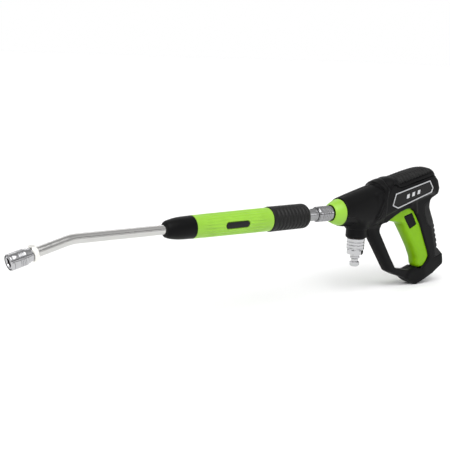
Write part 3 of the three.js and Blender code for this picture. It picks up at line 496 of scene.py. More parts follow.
def settled(form: Field, points: np.ndarray, step: float) -> np.ndarray:
    """Moves points onto a form's surface.

    Args:
        form: gives the distance from the form at any place.
        points: the points near the surface.
        step: the size of a face.

    Returns:
        The moved points.
    """
    reach = 0.25 * step
    for _ in range(3):
        here = form(*points.T)
        slope = np.stack(
            [
                form(*(points + reach * np.eye(3)[n]).T) - form(*(points - reach * np.eye(3)[n]).T)
                for n in range(3)
            ],
            1,
        ) / (2 * reach)
        size = np.maximum((slope**2).sum(1), 0.05)
        shift = slope * (here / size)[:, None]
        length = np.linalg.norm(shift, axis=1, keepdims=True)
        points = points - shift * np.minimum(1, 0.5 * step / np.maximum(length, 1e-9))
    return points


# ---- Nodes -------------------------------------------------------------------------------------
def add(
    tree: bpy.types.NodeTree,
    kind: str,
    links: dict[Any, bpy.types.NodeSocket] | None = None,
    values: dict[Any, Any] | None = None,
    **traits: Any,
) -> bpy.types.Node:
    """Adds a node with its settings and links.

    Args:
        tree: the tree that it joins.
        kind: its type.
        links: input name or number to the socket that feeds it.
        values: input name or number to its constant.
        traits: its own properties.

    Returns:
        The node.
    """
    node = tree.nodes.new(kind)
    for name, value in traits.items():
        setattr(node, name, value)
    for name, value in (values or {}).items():
        node.inputs[name].default_value = value
    for name, source in (links or {}).items():
        tree.links.new(source, node.inputs[name])
    return node


def linear(code: str) -> tuple[float, float, float, float]:
    """Turns an sRGB hex colour into linear light.

    Args:
        code: six hex digits after a hash.

    Returns:
        Red, green, blue and a full alpha.
    """

    def channel(at: int) -> float:
        """Turns one channel."""
        value = int(code[at : at + 2], 16) / 255
        return value / 12.92 if value <= 0.04045 else ((value + 0.055) / 1.055) ** 2.4

    return channel(1), channel(3), channel(5), 1.0


class Lay(Enum):
    """The line that the marks of a turned metal piece run round."""

    BARREL = (0.0, 0.0, 0.0)
    UPRIGHT = (0.0, math.pi / 2, 0.0)
    TIP = (0.0, BEND, 0.0)


@dataclass(frozen=True)
class MouldedPlastic:
    """An injection-moulded plastic with a spark-eroded tool texture and a painted highlight on its convex
    edges.
    """

    name: str
    colour: str
    # the lighter colour painted on convex edges as a highlight
    edge_highlight_colour: str
    roughness: float
    grain_mm: float
    grain_depth_mm: float
    ior: float = 1.5
    glow: float = 0.0
    shine: float = 0.5

    def make(self) -> bpy.types.Material:
        """Builds the material.

        Returns:
            The material.
        """
        material = bpy.data.materials.new(self.name)
        material.use_nodes = True
        tree = material.node_tree
        tree.nodes.clear()
        place = add(tree, "ShaderNodeTexCoord").outputs["Object"]
        grain = add(
            tree,
            "ShaderNodeTexNoise",
            {"Vector": place},
            {"Scale": 1 / (self.grain_mm * MM), "Detail": 2.0, "Roughness": 0.55},
        )
        pits = add(
            tree,
            "ShaderNodeTexVoronoi",
            {"Vector": place},
            {"Scale": 0.6 / (self.grain_mm * MM)},
        )
        # Flow clouding of the melt, about 30 mm across.
        cloud = add(
            tree, "ShaderNodeTexNoise", {"Vector": place}, {"Scale": 33.0, "Detail": 3.0}
        )
        # Painted highlight: convex edges, picked out by pointiness, are mixed in patches towards the lighter
        # colour, standing in for the sheen that light puts on them.
        edge = add(tree, "ShaderNodeNewGeometry").outputs["Pointiness"]
        edge_highlight = add(
            tree,
            "ShaderNodeMapRange",
            {"Value": edge},
            {"From Min": 0.52, "From Max": 0.62, "To Min": 0.0, "To Max": 0.55},
        )
        patchy_edge_highlight = add(
            tree, "ShaderNodeMath", {0: edge_highlight.outputs["Result"], 1: cloud.outputs["Fac"]},
            operation="MULTIPLY",
        )
        tint = add(
            tree,
            "ShaderNodeMix",
            {"Factor": patchy_edge_highlight.outputs[0]},
            data_type="RGBA",
        )
        tint.inputs[6].default_value = linear(self.colour)
        tint.inputs[7].default_value = linear(self.edge_highlight_colour)
        fleck = add(
            tree,
            "ShaderNodeHueSaturation",
            {"Color": tint.outputs[2]},
        )
        lift = add(
            tree,
            "ShaderNodeMapRange",
            {"Value": cloud.outputs["Fac"]},
            {"From Min": 0.3, "From Max": 0.7, "To Min": 0.92, "To Max": 1.08},
        )
        tree.links.new(lift.outputs["Result"], fleck.inputs["Value"])
        dull = add(
            tree,
            "ShaderNodeMapRange",
            {"Value": cloud.outputs["Fac"]},
            {
                "From Min": 0.3,
                "From Max": 0.7,
                "To Min": self.roughness - 0.05,
                "To Max": self.roughness + 0.05,
            },
        )
        relief = add(
            tree,
            "ShaderNodeMath",
            {0: grain.outputs["Fac"], 1: pits.outputs["Distance"]},
            operation="ADD",
        )
        bump = add(
            tree,
            "ShaderNodeBump",
            {"Height": relief.outputs[0]},
            {"Strength": 0.6, "Distance": self.grain_depth_mm * MM},
        )
        shader = add(
            tree,
            "ShaderNodeBsdfPrincipled",
            {
                "Base Color": fleck.outputs["Color"],
                "Roughness": dull.outputs["Result"],
                "Normal": bump.outputs["Normal"],
            },
            {"IOR": self.ior, "Specular IOR Level": self.shine},
        )
        if self.glow:
            shader.inputs["Subsurface Weight"].default_value = self.glow
            shader.inputs["Subsurface Radius"].default_value = (0.0015, 0.002, 0.0006)
            shader.inputs["Subsurface Scale"].default_value = 1.0
        add(tree, "ShaderNodeOutputMaterial", {"Surface": shader.outputs["BSDF"]})
        return material


@dataclass(frozen=True)
class WorkedMetal:
    """A metal whose surface was turned, drawn or polished, with the marks of that."""

    name: str
    colour: str
    roughness: float
    mark_mm: float
    mark_depth_mm: float
    lay: Lay = Lay.BARREL
    lengthwise: bool = False

    def make(self) -> bpy.types.Material:
        """Builds the material.

        Returns:
            The material.
        """
        material = bpy.data.materials.new(self.name)
        material.use_nodes = True
        tree = material.node_tree
        tree.nodes.clear()
        place = add(tree, "ShaderNodeTexCoord").outputs["Object"]
        fine, coarse = 1 / (self.mark_mm * MM), 60.0
        scale = (coarse, fine, fine) if self.lengthwise else (fine, coarse, coarse)
        turned_to = add(
            tree,
            "ShaderNodeMapping",
            {"Vector": place},
            {"Rotation": self.lay.value},
        )
        stretched = add(
            tree, "ShaderNodeMapping", {"Vector": turned_to.outputs[0]}, {"Scale": scale}
        )
        marks = add(
            tree,
            "ShaderNodeTexNoise",
            {"Vector": stretched.outputs[0]},
            {"Scale": 1.0, "Detail": 3.0, "Roughness": 0.6},
        )
        # Handling haze, in patches about 12 mm across.
        haze = add(
            tree, "ShaderNodeTexNoise", {"Vector": place}, {"Scale": 80.0, "Detail": 4.0}
        )
        dull = add(
            tree,
            "ShaderNodeMapRange",
            {"Value": haze.outputs["Fac"]},
            {
                "From Min": 0.35,
                "From Max": 0.7,
                "To Min": self.roughness,
                "To Max": self.roughness + 0.08,
            },
        )
        tone = add(
            tree,
            "ShaderNodeMapRange",
            {"Value": marks.outputs["Fac"]},
            {"From Min": 0.3, "From Max": 0.7, "To Min": 0.93, "To Max": 1.04},
        )
        colour = add(
            tree, "ShaderNodeHueSaturation", {"Value": tone.outputs["Result"]},
            {"Color": linear(self.colour)},
        )
        bump = add(
            tree,
            "ShaderNodeBump",
            {"Height": marks.outputs["Fac"]},
            {"Strength": 0.5, "Distance": self.mark_depth_mm * MM},
        )
        shader = add(
            tree,
            "ShaderNodeBsdfPrincipled",
            {
                "Base Color": colour.outputs["Color"],
                "Roughness": dull.outputs["Result"],
                "Normal": bump.outputs["Normal"],
            },
            {"Metallic": 1.0},
        )
        add(tree, "ShaderNodeOutputMaterial", {"Surface": shader.outputs["BSDF"]})
        return material


@dataclass
class Finishes:
    """Every material of the gun, made once."""

    # In each moulded plastic below, the second colour is a painted highlight that its convex edges take.
    # Glass-filled nylon, moulded in a spark-eroded tool: near black with a soft even sheen.
    nylon: bpy.types.Material = field(
        default_factory=MouldedPlastic(
            "moulded_glass_filled_nylon", "#080809", "#1a1a1b", 0.44, 0.55, 0.05, shine=0.11
        ).make
    )
    # Thermoplastic elastomer, moulded over the nylon: blacker and flatter than it.
    elastomer: bpy.types.Material = field(
        default_factory=MouldedPlastic(
            "overmoulded_elastomer", "#0f0f0f", "#242424", 0.52, 0.4, 0.06, 1.48, shine=0.3
        ).make
    )
    # ABS in lime green, moulded in a fine satin tool: a broad soft gloss.
    lime_abs: bpy.types.Material = field(
        default_factory=MouldedPlastic(
            "moulded_lime_abs", "#8fc238", "#abd862", 0.38, 0.9, 0.02, 1.53, 0.1, 0.4
        ).make
    )
    # The trigger's ABS is a deeper green of the same satin.
    trigger_abs: bpy.types.Material = field(
        default_factory=MouldedPlastic(
            "moulded_deep_lime_abs", "#76a900", "#92c21c", 0.4, 0.9, 0.02, 1.53, 0.06, 0.18
        ).make
    )
    # Acrylic lacquer on a pressed plate: smooth and black.
    lacquer: bpy.types.Material = field(
        default_factory=MouldedPlastic(
            "lacquered_plate", "#070708", "#121213", 0.3, 1.4, 0.01, shine=0.2
        ).make
    )
    # Nickel-chromium plated steel, turned and polished: bright, with faint rings round it. This copy, for
    # the outlet coupler and the plug rod on the barrel line, has a darker base than the upright and tip
    # copies: a painted dark reflection.
    chrome_painted_dark: bpy.types.Material = field(
        default_factory=WorkedMetal(
            "polished_chrome_plated_steel", "#98989a", 0.09, 0.35, 0.004
        ).make
    )
    chrome_upright: bpy.types.Material = field(
        default_factory=WorkedMetal(
            "polished_chrome_plated_steel_upright", "#bfbfc1", 0.1, 0.35, 0.004, Lay.UPRIGHT
        ).make
    )
    chrome_tip: bpy.types.Material = field(
        default_factory=WorkedMetal(
            "polished_chrome_plated_steel_tip", "#bababc", 0.09, 0.35, 0.004, Lay.TIP
        ).make
    )
    # Stainless tube, drawn and buffed: faint lines run along it.
    drawn_tube: bpy.types.Material = field(
        default_factory=WorkedMetal(
            "drawn_stainless_tube", "#c9c8c6", 0.12, 0.4, 0.004, lengthwise=True
        ).make
    )
    # White zinc on a hexagon bar: pale and silky.
    white_zinc: bpy.types.Material = field(
        default_factory=WorkedMetal(
            "white_zinc_plated_steel", "#f2f1ec", 0.34, 0.5, 0.01, Lay.TIP
        ).make
    )
    # Brass, turned: the tool leaves rings about a quarter of a millimetre apart.
    brass: bpy.types.Material = field(
        default_factory=WorkedMetal("turned_brass", "#c9a45c", 0.24, 0.25, 0.01).make
    )
    # Tool steel of the lock balls, valve seat, stem and trigger pin: ground to an even satin.
    steel: bpy.types.Material = field(
        default_factory=WorkedMetal("ground_tool_steel", "#b9babc", 0.22, 0.25, 0.006).make
    )
    # Spring wire, drawn and oiled: darker than turned steel.
    wire: bpy.types.Material = field(
        default_factory=WorkedMetal("drawn_spring_wire", "#8d8e90", 0.3, 0.3, 0.008).make
    )
    # Screw steel, chemically blackened and oiled.
    black_screw: bpy.types.Material = field(
        default_factory=WorkedMetal("blackened_screw_steel", "#4a4a4c", 0.35, 0.3, 0.008).make
    )
    # Anodised aluminium rim of the plates: an even bright satin.
    bright_rim: bpy.types.Material = field(
        default_factory=WorkedMetal("anodised_aluminium", "#cfd0d2", 0.3, 0.4, 0.006).make
    )
    # Nitrile seals: smooth dark rubber.
    nitrile: bpy.types.Material = field(
        default_factory=MouldedPlastic("moulded_nitrile", "#141414", "#202020", 0.5, 0.5, 0.01).make
    )


# ---- Repeated pieces ------------------------------------------------------------------------------
def growing_tree(name: str, inputs: dict[str, tuple[str, Any]]) -> tuple[Any, Any]:
    """Starts a tree of Geometry Nodes.

    Args:
        name: its name.
        inputs: name to socket type and starting value.

    Returns:
        The tree and its input node.
    """
    tree = bpy.data.node_groups.new(name, "GeometryNodeTree")
    tree.interface.new_socket("Geometry", in_out="INPUT", socket_type="NodeSocketGeometry")
    for label, (kind, value) in inputs.items():
        socket = tree.interface.new_socket(label, in_out="INPUT", socket_type=kind)
        if value is not None:
            socket.default_value = value
    tree.interface.new_socket("Geometry", in_out="OUTPUT", socket_type="NodeSocketGeometry")
    return tree, tree.nodes.new("NodeGroupInput")


def close_tree(tree: Any, source: bpy.types.NodeSocket, material: bpy.types.NodeSocket) -> None:
    """Ends a tree with real geometry and its material.

    Args:
        tree: the tree.
        source: the socket that gives the geometry.
        material: the socket that gives the material.
    """
    real = add(tree, "GeometryNodeRealizeInstances", {0: source})
    coated = add(
        tree, "GeometryNodeSetMaterial", {"Geometry": real.outputs[0], "Material": material}
    )
    smooth = add(tree, "GeometryNodeSetShadeSmooth", {0: coated.outputs[0]})
    add(tree, "NodeGroupOutput", {0: smooth.outputs[0]})


def grown(
    name: str,
    tree: Any,
    values: dict[str, Any],
    points: np.ndarray | None = None,
) -> bpy.types.Object:
    """Runs a tree and keeps its result as a plain mesh.

    Args:
        name: the piece's name.
        tree: the tree.
        values: input name to value, in metres.
        points: seed points on the working axes, where the tree needs them.

    Returns:
        The object.
    """
    seed = bpy.data.meshes.new(name + "_seed")
    if points is not None:
        placed = np.asarray(points, float) * MM + np.array(ORIGIN)
        seed.from_pydata(placed.tolist(), [], [])
    holder = bpy.data.objects.new(name, seed)
    bpy.context.scene.collection.objects.link(holder)
    modifier = holder.modifiers.new("grow", "NODES")
    modifier.node_group = tree
    for item in tree.interface.items_tree:
        if item.in_out == "INPUT" and item.name in values:
            modifier[item.identifier] = values[item.name]
    bpy.context.view_layer.update()
    graph = bpy.context.evaluated_depsgraph_get()
    mesh = bpy.data.meshes.new_from_object(holder.evaluated_get(graph))
    holder.modifiers.remove(modifier)
    holder.data = mesh
    if enclosed(mesh) < 0:
        mesh.flip_normals()
    return holder


def ball_tree() -> Any:
    """Builds the tree that sets a ball on each point.

    Returns:
        The tree, with inputs Ball Radius and Material.
    """
    tree, start = growing_tree(
        "lock_balls",
        {"Ball Radius": ("NodeSocketFloat", 0.0015), "Material": ("NodeSocketMaterial", None)},
    )
    ball = add(
        tree,
        "GeometryNodeMeshUVSphere",
        {"Radius": start.outputs["Ball Radius"]},
        {"Segments": 24, "Rings": 16},
    )
    spots = add(tree, "GeometryNodeMeshToPoints", {0: start.outputs["Geometry"]})
    set_on = add(
        tree,
        "GeometryNodeInstanceOnPoints",
        {"Points": spots.outputs[0], "Instance": ball.outputs["Mesh"]},
    )
    close_tree(tree, set_on.outputs[0], start.outputs["Material"])
    return tree


def coil_tree() -> Any:
    """Builds the tree that winds a compression spring.

    Returns:
        The tree, with inputs for its place, length, coil and wire.
    """
    tree, start = growing_tree(
        "wound_spring",
        {
            "Turns": ("NodeSocketFloat", 4.0),
            "Length": ("NodeSocketFloat", 0.01),
            "Coil Radius": ("NodeSocketFloat", 0.005),
            "Wire Radius": ("NodeSocketFloat", 0.0005),
            "Place": ("NodeSocketVector", (0, 0, 0)),
            "Turn": ("NodeSocketVector", (0, 0, 0)),
            "Material": ("NodeSocketMaterial", None),
        },
    )
    path = add(
        tree,
        "GeometryNodeCurveSpiral",
        {
            "Rotations": start.outputs["Turns"],
            "Start Radius": start.outputs["Coil Radius"],
            "End Radius": start.outputs["Coil Radius"],
            "Height": start.outputs["Length"],
        },
        {"Resolution": 36},
    )
    wire = add(
        tree,
        "GeometryNodeCurvePrimitiveCircle",
        {"Radius": start.outputs["Wire Radius"]},
        {"Resolution": 10},
    )
    solid = add(
        tree,
        "GeometryNodeCurveToMesh",
        {"Curve": path.outputs[0], "Profile Curve": wire.outputs[0]},
        {"Fill Caps": True},
    )
    moved = add(
        tree,
        "GeometryNodeTransform",
        {
            "Geometry": solid.outputs[0],
            "Translation": start.outputs["Place"],
            "Rotation": start.outputs["Turn"],
        },
    )
    close_tree(tree, moved.outputs[0], start.outputs["Material"])
    return tree


def copy_tree() -> Any:
    """Builds the tree that sets a copy of a made piece on each point.

    Returns:
        The tree, with inputs Model and Material.
    """
    tree, start = growing_tree(
        "set_copies",
        {"Model": ("NodeSocketObject", None), "Material": ("NodeSocketMaterial", None)},
    )
    model = add(tree, "GeometryNodeObjectInfo", {"Object": start.outputs["Model"]})
    spots = add(tree, "GeometryNodeMeshToPoints", {0: start.outputs["Geometry"]})
    set_on = add(
        tree,
        "GeometryNodeInstanceOnPoints",
        {"Points": spots.outputs[0], "Instance": model.outputs["Geometry"]},
    )
    close_tree(tree, set_on.outputs[0], start.outputs["Material"])
    return tree


def tube_tree() -> Any:
    """Builds the tree that draws a bent tube through three points.

    Returns:
        The tree, with inputs for its three points, bend and radius.
    """
    tree, start = growing_tree(
        "bent_tube",
        {
            "Back": ("NodeSocketVector", (0, 0, 0)),
            "Corner": ("NodeSocketVector", (0, 0, 0)),
            "Front": ("NodeSocketVector", (0, 0, 0)),
            "Bend Radius": ("NodeSocketFloat", 0.07),
            "Tube Radius": ("NodeSocketFloat", 0.007),
            "Material": ("NodeSocketMaterial", None),
        },
    )
    first = add(
        tree,
        "GeometryNodeCurvePrimitiveLine",
        {"Start": start.outputs["Back"], "End": start.outputs["Corner"]},
    )
    pair = add(tree, "GeometryNodeResampleCurve", {0: first.outputs[0]}, {"Count": 3})
    number = add(tree, "GeometryNodeInputIndex")
    is_last = add(
        tree, "FunctionNodeCompare", {2: number.outputs[0]}, {3: 2},
        data_type="INT", operation="EQUAL",
    )
    is_middle = add(
        tree, "FunctionNodeCompare", {2: number.outputs[0]}, {3: 1},
        data_type="INT", operation="EQUAL",
    )
    bent = add(
        tree,
        "GeometryNodeSetPosition",
        {
            "Geometry": pair.outputs[0],
            "Selection": is_middle.outputs[0],
            "Position": start.outputs["Corner"],
        },
    )
    ended = add(
        tree,
        "GeometryNodeSetPosition",
        {
            "Geometry": bent.outputs[0],
            "Selection": is_last.outputs[0],
            "Position": start.outputs["Front"],
        },
    )
    rounded = add(
        tree,
        "GeometryNodeFilletCurve",
        {"Curve": ended.outputs[0], "Radius": start.outputs["Bend Radius"]},
        {"Count": 24},
        mode="POLY",
    )
    rim = add(
        tree,
        "GeometryNodeCurvePrimitiveCircle",
        {"Radius": start.outputs["Tube Radius"]},
        {"Resolution": 64},
    )
    solid = add(
        tree,
        "GeometryNodeCurveToMesh",
        {"Curve": rounded.outputs[0], "Profile Curve": rim.outputs[0]},
        {"Fill Caps": True},
    )
    close_tree(tree, solid.outputs[0], start.outputs["Material"])
    return tree


# ---- The gun's body ---------------------------------------------------------------------------------
@dataclass
class GunBody:
    """The clamshell halves, the cover over them, the soft pads and the side plates."""

    finishes: Finishes
    wall: float = 3.0
    seam: float = 0.15
    gap: float = 0.3
    body_half: float = 22.5
    handle_half: float = 15.5
    guard_half: float = 10.0
    trigger_room: float = 12.75
    pad_depth: float = 2.4
    rib_pitch: float = 6.8
    rib_depth: float = 1.7
    grid: float = 1.05
    screw_head: float = 3.4
    stem_bore: float = 6.5
    neck_bore: float = 17.6
    nose_bore: float = 17.3
    screws: tuple[tuple[float, float, float], ...] = (
        (52, 25, 17),
        (100, 28, 22.5),
        (166, 33, 20.5),
        (211, 38, 21.5),
        (80, -32, 10),
        (132, -110.5, 10),
        (232, -104, 15.5),
    )
    badge: tuple[Corner, ...] = (
        (107, 26.2),
        (188.6, 44.2),
        (198, 31),
        (194.5, 23),
        (114.5, 1),
        (100.5, 6.5),
    )

    def __post_init__(self) -> None:
        """Draws every outline of the gun as it is seen from the side."""
        # x, crown, belly, half width, squareness
        sections = np.array(
            [
                (0, 23.2, -22.4, 22.8, 2.0),
                (18, 28, -24.5, 23.6, 2.1),
                (40, 33.4, -26.6, 24.4, 2.2),
                (60, 38, -28, 24.6, 2.35),
                (80, 42, -27, 24.2, 2.5),
            ]
        )
        self.nose_fit = [np.polyfit(sections[:, 0], sections[:, n], 3) for n in range(1, 5)]
        self.nose_crease = flowing([(0, -4), (9, -5), (18, -6), (32, -14.5), (46, -24), (60, -30)])
        self.body_side = Silhouette(
            [
                (62, -22, 4),
                (90, -11),
                (148, 7.5),
                (198, 20, 10),
                (212, 13, 6),
                (220, 17.5, 5),
                (223, 29, 8),
                (217.5, 45, 10),
                (206, 54.5),
                (119, 35.6, 3),
                (104, 41, 3),
                (80, 35),
                (62, 28),
            ],
            6,
        )
        self.ridge_top = flowing(
            [(62, 34.5), (66, 36.6), (70, 39.2), (75, 42.8), (82, 46.8), (90, 49.4), (98, 51),
             (106, 51.9), (113, 52.2), (119, 53.1), (134, 56.2), (150, 59.2), (168, 62.3),
             (185, 64.4), (196, 63.9), (204, 61.2), (211, 55.5), (217, 47)]
        )
        self.ridge_foot = flowing(
            [(62, 18), (80, 20), (89, 25), (97, 35), (104, 41), (110, 38.8), (117, 35.4), (122, 35.6),
             (150, 42.2), (187, 50), (198, 51.5), (208, 47), (217, 38)]
        )
        # half width of the ridge and how square its shoulders are
        self.ridge_plan = flowing(
            [(62, 20), (75, 22), (94, 22), (106, 20.2), (190, 20), (200, 18.6), (208, 15.5),
             (214, 11), (218, 5)]
        )
        self.ridge_square = flowing([(62, 2.0), (95, 2.15), (118, 2.6), (218, 2.6)])
        self.handle_side = Silhouette(
            [
                (150, 14),
                (148, 0),
                (160, -4.5, 6),
                (167.3, -15.2, 20),
                (179.4, -35.2, 30),
                (205.7, -88.3, 5),
                (205.3, -97.2, 5),
                (191.2, -109, 5),
                (168, -112),
                (158, -124),
                (170, -132.5),
                (184, -138, 4),
                (222, -122.5, 6),
                (247, -107.5, 3),
                (247.5, -89.5, 2.5),
                (232.6, -76.5, 4),
                (229.7, -64, 20),
                (220, -35, 30),
                (210.3, -16.7, 20),
                (203.6, -3, 12),
                (205, 7, 8),
                (213, 16),
                (200, 30),
            ],
            8,
        )
        inner = [
            (200, -102),
            (187, -105.5, 6),
            (169, -112, 8),
            (152, -109, 10),
            (132.5, -104.5, 5),
            (118, -84, 30),
            (88, -37.5, 7),
            (90.5, -25, 7),
            (108, -21.5, 20),
            (130, -20.5, 20),
            (150, -8),
            (150, 6),
            (92, -10),
            (60, -20),
        ]
        lower = [(186, -134), (200, -120)]
        self.guard_middle = Silhouette(
            [(54, -24), (59, -32, 8), (67.6, -44.6, 20), (87.6, -71.8, 20), (114, -108, 6),
             (134, -116.5, 12), *lower, *inner],
            5,
        )
        self.guard_flank = Silhouette(
            [(54, -24), (64, -28.5, 8), (72.6, -34, 8), (90.3, -60.1, 20), (107.2, -85.5, 20),
             (123.5, -110.5, 5), (137, -116, 8), (184, -133.5), (200, -120), *inner],
            5,
        )
        # walls that hang down beside the trigger's root
        self.skirt = Silhouette(
            [(84, -24), (100, -22, 6), (107.7, -17.4, 10), (119.1, -11.6, 20), (130.7, -6.5, 20),
             (142.5, -3.2, 20), (156, -1.5, 6), (168, -10), (164, 12), (96, 2)],
        )
        self.rear_pad = Silhouette(
            [
                (196, 6.5, 5),
                (186.5, -0.7, 4),
                (189.3, -14.7, 10),
                (198.5, -32, 5),
                (208, -38.3, 6),
                (216.3, -62, 20),
                (222, -80.6, 8),
                (224.5, -93.5, 2),
                (249, -85.5),
                (262, -70),
                (262, -20),
                (225, 12),
            ]
        )
        self.ridge_pad = Silhouette([(106, 60), (118.5, 40.5, 3), (205, 60.3, 3), (208, 72), (106, 78)])
        self.band = Silhouette(
            [(62, -12), (67.5, -4, 20), (75.2, 11.4, 30), (80.4, 25.7, 16), (78, 37.4, 16),
             (70, 46, 10), (66, 60), (94, 60), (90, 46, 20), (90, 35, 20), (85, 17.3, 30),
             (76, -5, 20), (72.5, -13)],
        )
        self.plate = Silhouette(self.badge, 1.2)
        self.trigger_gap = [Silhouette(outline) for outline in swung_trigger()]

    # Forms ---------------------------------------------------------------------------------------
    def nose(self, x: np.ndarray, y: np.ndarray, z: np.ndarray) -> np.ndarray:
        """Gives the distance from the nose, which swells from the collar back to the band."""
        crown, belly, half, square = (np.polyval(fit, np.clip(x, 0, 84)) for fit in self.nose_fit)
        centre, rise = (crown + belly) / 2, (crown - belly) / 2
        reach = (np.abs(y / half) ** square + np.abs((z - centre) / rise) ** square) ** (1 / square)
        skin = (reach - 1) * np.minimum(half, rise)
        below = self.nose_crease(x) - z
        skin = skin + 1.9 * ramp(below, -0.4, 2.4) * ramp(np.abs(y), 5, 11)
        skin = trim_by(skin, -x, 1.6)
        return np.maximum(skin, x - 86)

    def socket(self, x: np.ndarray, y: np.ndarray, z: np.ndarray) -> np.ndarray:
        """Gives the distance from the short upright neck that takes the inlet boss."""
        round_it = np.hypot(x - INLET_X, y) - 19.6
        return trim_by(trim_by(round_it, -29.5 - z, 2.0), z + 6, 2.0)

    def trunk(self, x: np.ndarray, y: np.ndarray, z: np.ndarray) -> np.ndarray:
        """Gives the distance from the wide body behind the band."""
        half = self.body_half - 0.0011 * (z - 22) ** 2
        flat = self.body_side(x, z)
        back = ramp(x, 196, 212)
        return slab(flat, y, half, 5.0) * (1 - back) + slab(flat, y, half, 14.0) * back

    def guard(self, x: np.ndarray, y: np.ndarray, z: np.ndarray) -> np.ndarray:
        """Gives the distance from the finger guard, whose front is rounded."""
        share = np.sqrt(np.clip(1 - (y / self.guard_half) ** 2, 0, 1))
        flat = self.guard_middle(x, z) * share + self.guard_flank(x, z) * (1 - share)
        return slab(flat, y, self.guard_half, 1.8)

    def handle(self, x: np.ndarray, y: np.ndarray, z: np.ndarray) -> np.ndarray:
        """Gives the distance from the handle and its foot."""
        foot = ramp(-z, 88, 104)
        half = self.handle_half - 0.6 * (1 - foot) * ramp(-z, 20, 50)
        half = half - 5.2 * foot * (1 - ramp(x, 160, 204))
        flat = self.handle_side(x, z)
        return slab(flat, y, half, 6.5) * (1 - foot) + slab(flat, y, half, 3.6) * foot

    def whole(self, x: np.ndarray, y: np.ndarray, z: np.ndarray) -> np.ndarray:
        """Gives the distance from all of the moulded body."""
        made = blend_in(self.nose(x, y, z), self.trunk(x, y, z), 4.0)
        made = blend_in(made, self.socket(x, y, z), 3.5)
        made = blend_in(made, slab(self.skirt(x, z), y, 15.0, 1.2), 5.0)
        made = blend_in(made, self.guard(x, y, z), 6.0)
        return blend_in(made, self.handle(x, y, z), 6.0)

    def ridge(self, x: np.ndarray, y: np.ndarray, z: np.ndarray) -> np.ndarray:
        """Gives the distance from the ridge that caps the body."""
        # The hump starts later at its sides than on the centre line.
        late = 0.03 * y**2 * (1 - ramp(x, 96, 114))
        crown, foot = self.ridge_top(x - late), self.ridge_foot(x)
        lip = 1.7 * (1 - ramp(z - foot, 3.2, 4.6)) * ramp(x, 106, 116) * (1 - ramp(x, 198, 210))
        half = self.ridge_plan(x) + lip
        square = self.ridge_square(x)
        rise = np.maximum(crown - foot, 2.0)
        height = np.maximum(z - foot, 0) / rise
        reach = (np.abs(y / half) ** square + height**square) ** (1 / square)
        skin = (reach - 1) * np.minimum(half, rise) * 0.9
        skin = trim_by(skin, foot + 0.2 - z, 1.0)
        return trim_by(np.maximum(skin, 63 - x), x - 217, 3.0)

    def strap(self, x: np.ndarray, y: np.ndarray, z: np.ndarray) -> np.ndarray:
        """Gives the distance from the bevelled band over the body."""
        inside = -self.band(x, z)
        proud = 3.0 * np.clip(inside / 3.0, 0, 1)
        base = blend_in(self.nose(x, y, z), self.trunk(x, y, z), 4.0)
        return np.maximum(base - proud, -inside)

    def cover(self, x: np.ndarray, y: np.ndarray, z: np.ndarray) -> np.ndarray:
        """Gives the distance from the cover, before the soft pad is let in."""
        base = blend_in(self.nose(x, y, z), self.trunk(x, y, z), 4.0)
        over = blend_in(self.ridge(x, y, z), self.strap(x, y, z), 5.0)
        return trim_by(over, -(base + 1.2), 0.4)

    # Pieces ----------------------------------------------------------------------------------------
    def shell_form(self, side: int) -> Field:
        """Gives the form of one half.

        Args:
            side: -1 for the left half, 1 for the right.

        Returns:
            Its distance.
        """

        def form(x: np.ndarray, y: np.ndarray, z: np.ndarray) -> np.ndarray:
            """Measures one half."""
            outer = self.whole(x, y, z)
            for swung in self.trigger_gap:
                outer = trim_by(outer, -slab(swung(x, z) - 0.8, y, self.trigger_room, 0.5), 0.5)
            made = np.maximum(outer, -(outer + self.wall))
            stem = np.maximum(np.hypot(y, z) - self.stem_bore, np.abs(x - 107) - 28)
            made = np.maximum(made, -stem)
            cover = np.minimum(self.ridge(x, y, z), self.strap(x, y, z))
            base = blend_in(self.nose(x, y, z), self.trunk(x, y, z), 4.0)
            made = trim_by(made, -np.maximum(cover - self.gap, -(base + 1.5)), 0.6)
            pad = np.maximum(self.rear_pad(x, z) - self.gap, -(self.handle(x, y, z) + self.pad_depth))
            made = trim_by(made, -pad, 0.7)
            plate = np.maximum(self.plate(x, z) - self.gap, self.body_half - 1.4 - np.abs(y))
            made = trim_by(made, -plate, 0.5)
            neck = np.hypot(x - INLET_X, y)
            made = trim_by(made, -np.maximum(neck - self.neck_bore, z + 14), 0.8)
            made = np.maximum(made, -np.maximum(np.hypot(y, z) - self.nose_bore, x - 4))
            if side > 0:
                for sx, sz, half in self.screws:
                    hole = np.hypot(x - sx, z - sz) - self.screw_head - 0.4
                    made = trim_by(made, -np.maximum(hole, half - 2.6 - y), 0.7)
            return trim_by(made, self.seam - side * y, 0.9)

        return form

    def build_shells(self) -> None:
        """Makes both halves."""
        for side, node in ((-1, "left_shell"), (1, "right_shell")):
            # the searched box reaches a little past the seam, so that the edge is found whole
            past_seam, outside = -side * 0.3, side * 25.5
            low = (0, min(past_seam, outside), -139)
            high = (253, max(past_seam, outside), 57)
            points, faces = surfaced(self.shell_form(side), low, high, self.grid)
            made = piece_of(node + "_moulding", points, faces, 60)
            finish_piece(made, Body.GUN, [node], self.finishes.nylon)

    def build_cover(self) -> None:
        """Makes the cover and the ribbed pad that is let into it."""

        def cover(x: np.ndarray, y: np.ndarray, z: np.ndarray) -> np.ndarray:
            """Measures the cover."""
            room = np.maximum(self.ridge_pad(x, z) - self.gap, -(self.ridge(x, y, z) + self.pad_depth))
            return trim_by(self.cover(x, y, z), -room, 0.6)

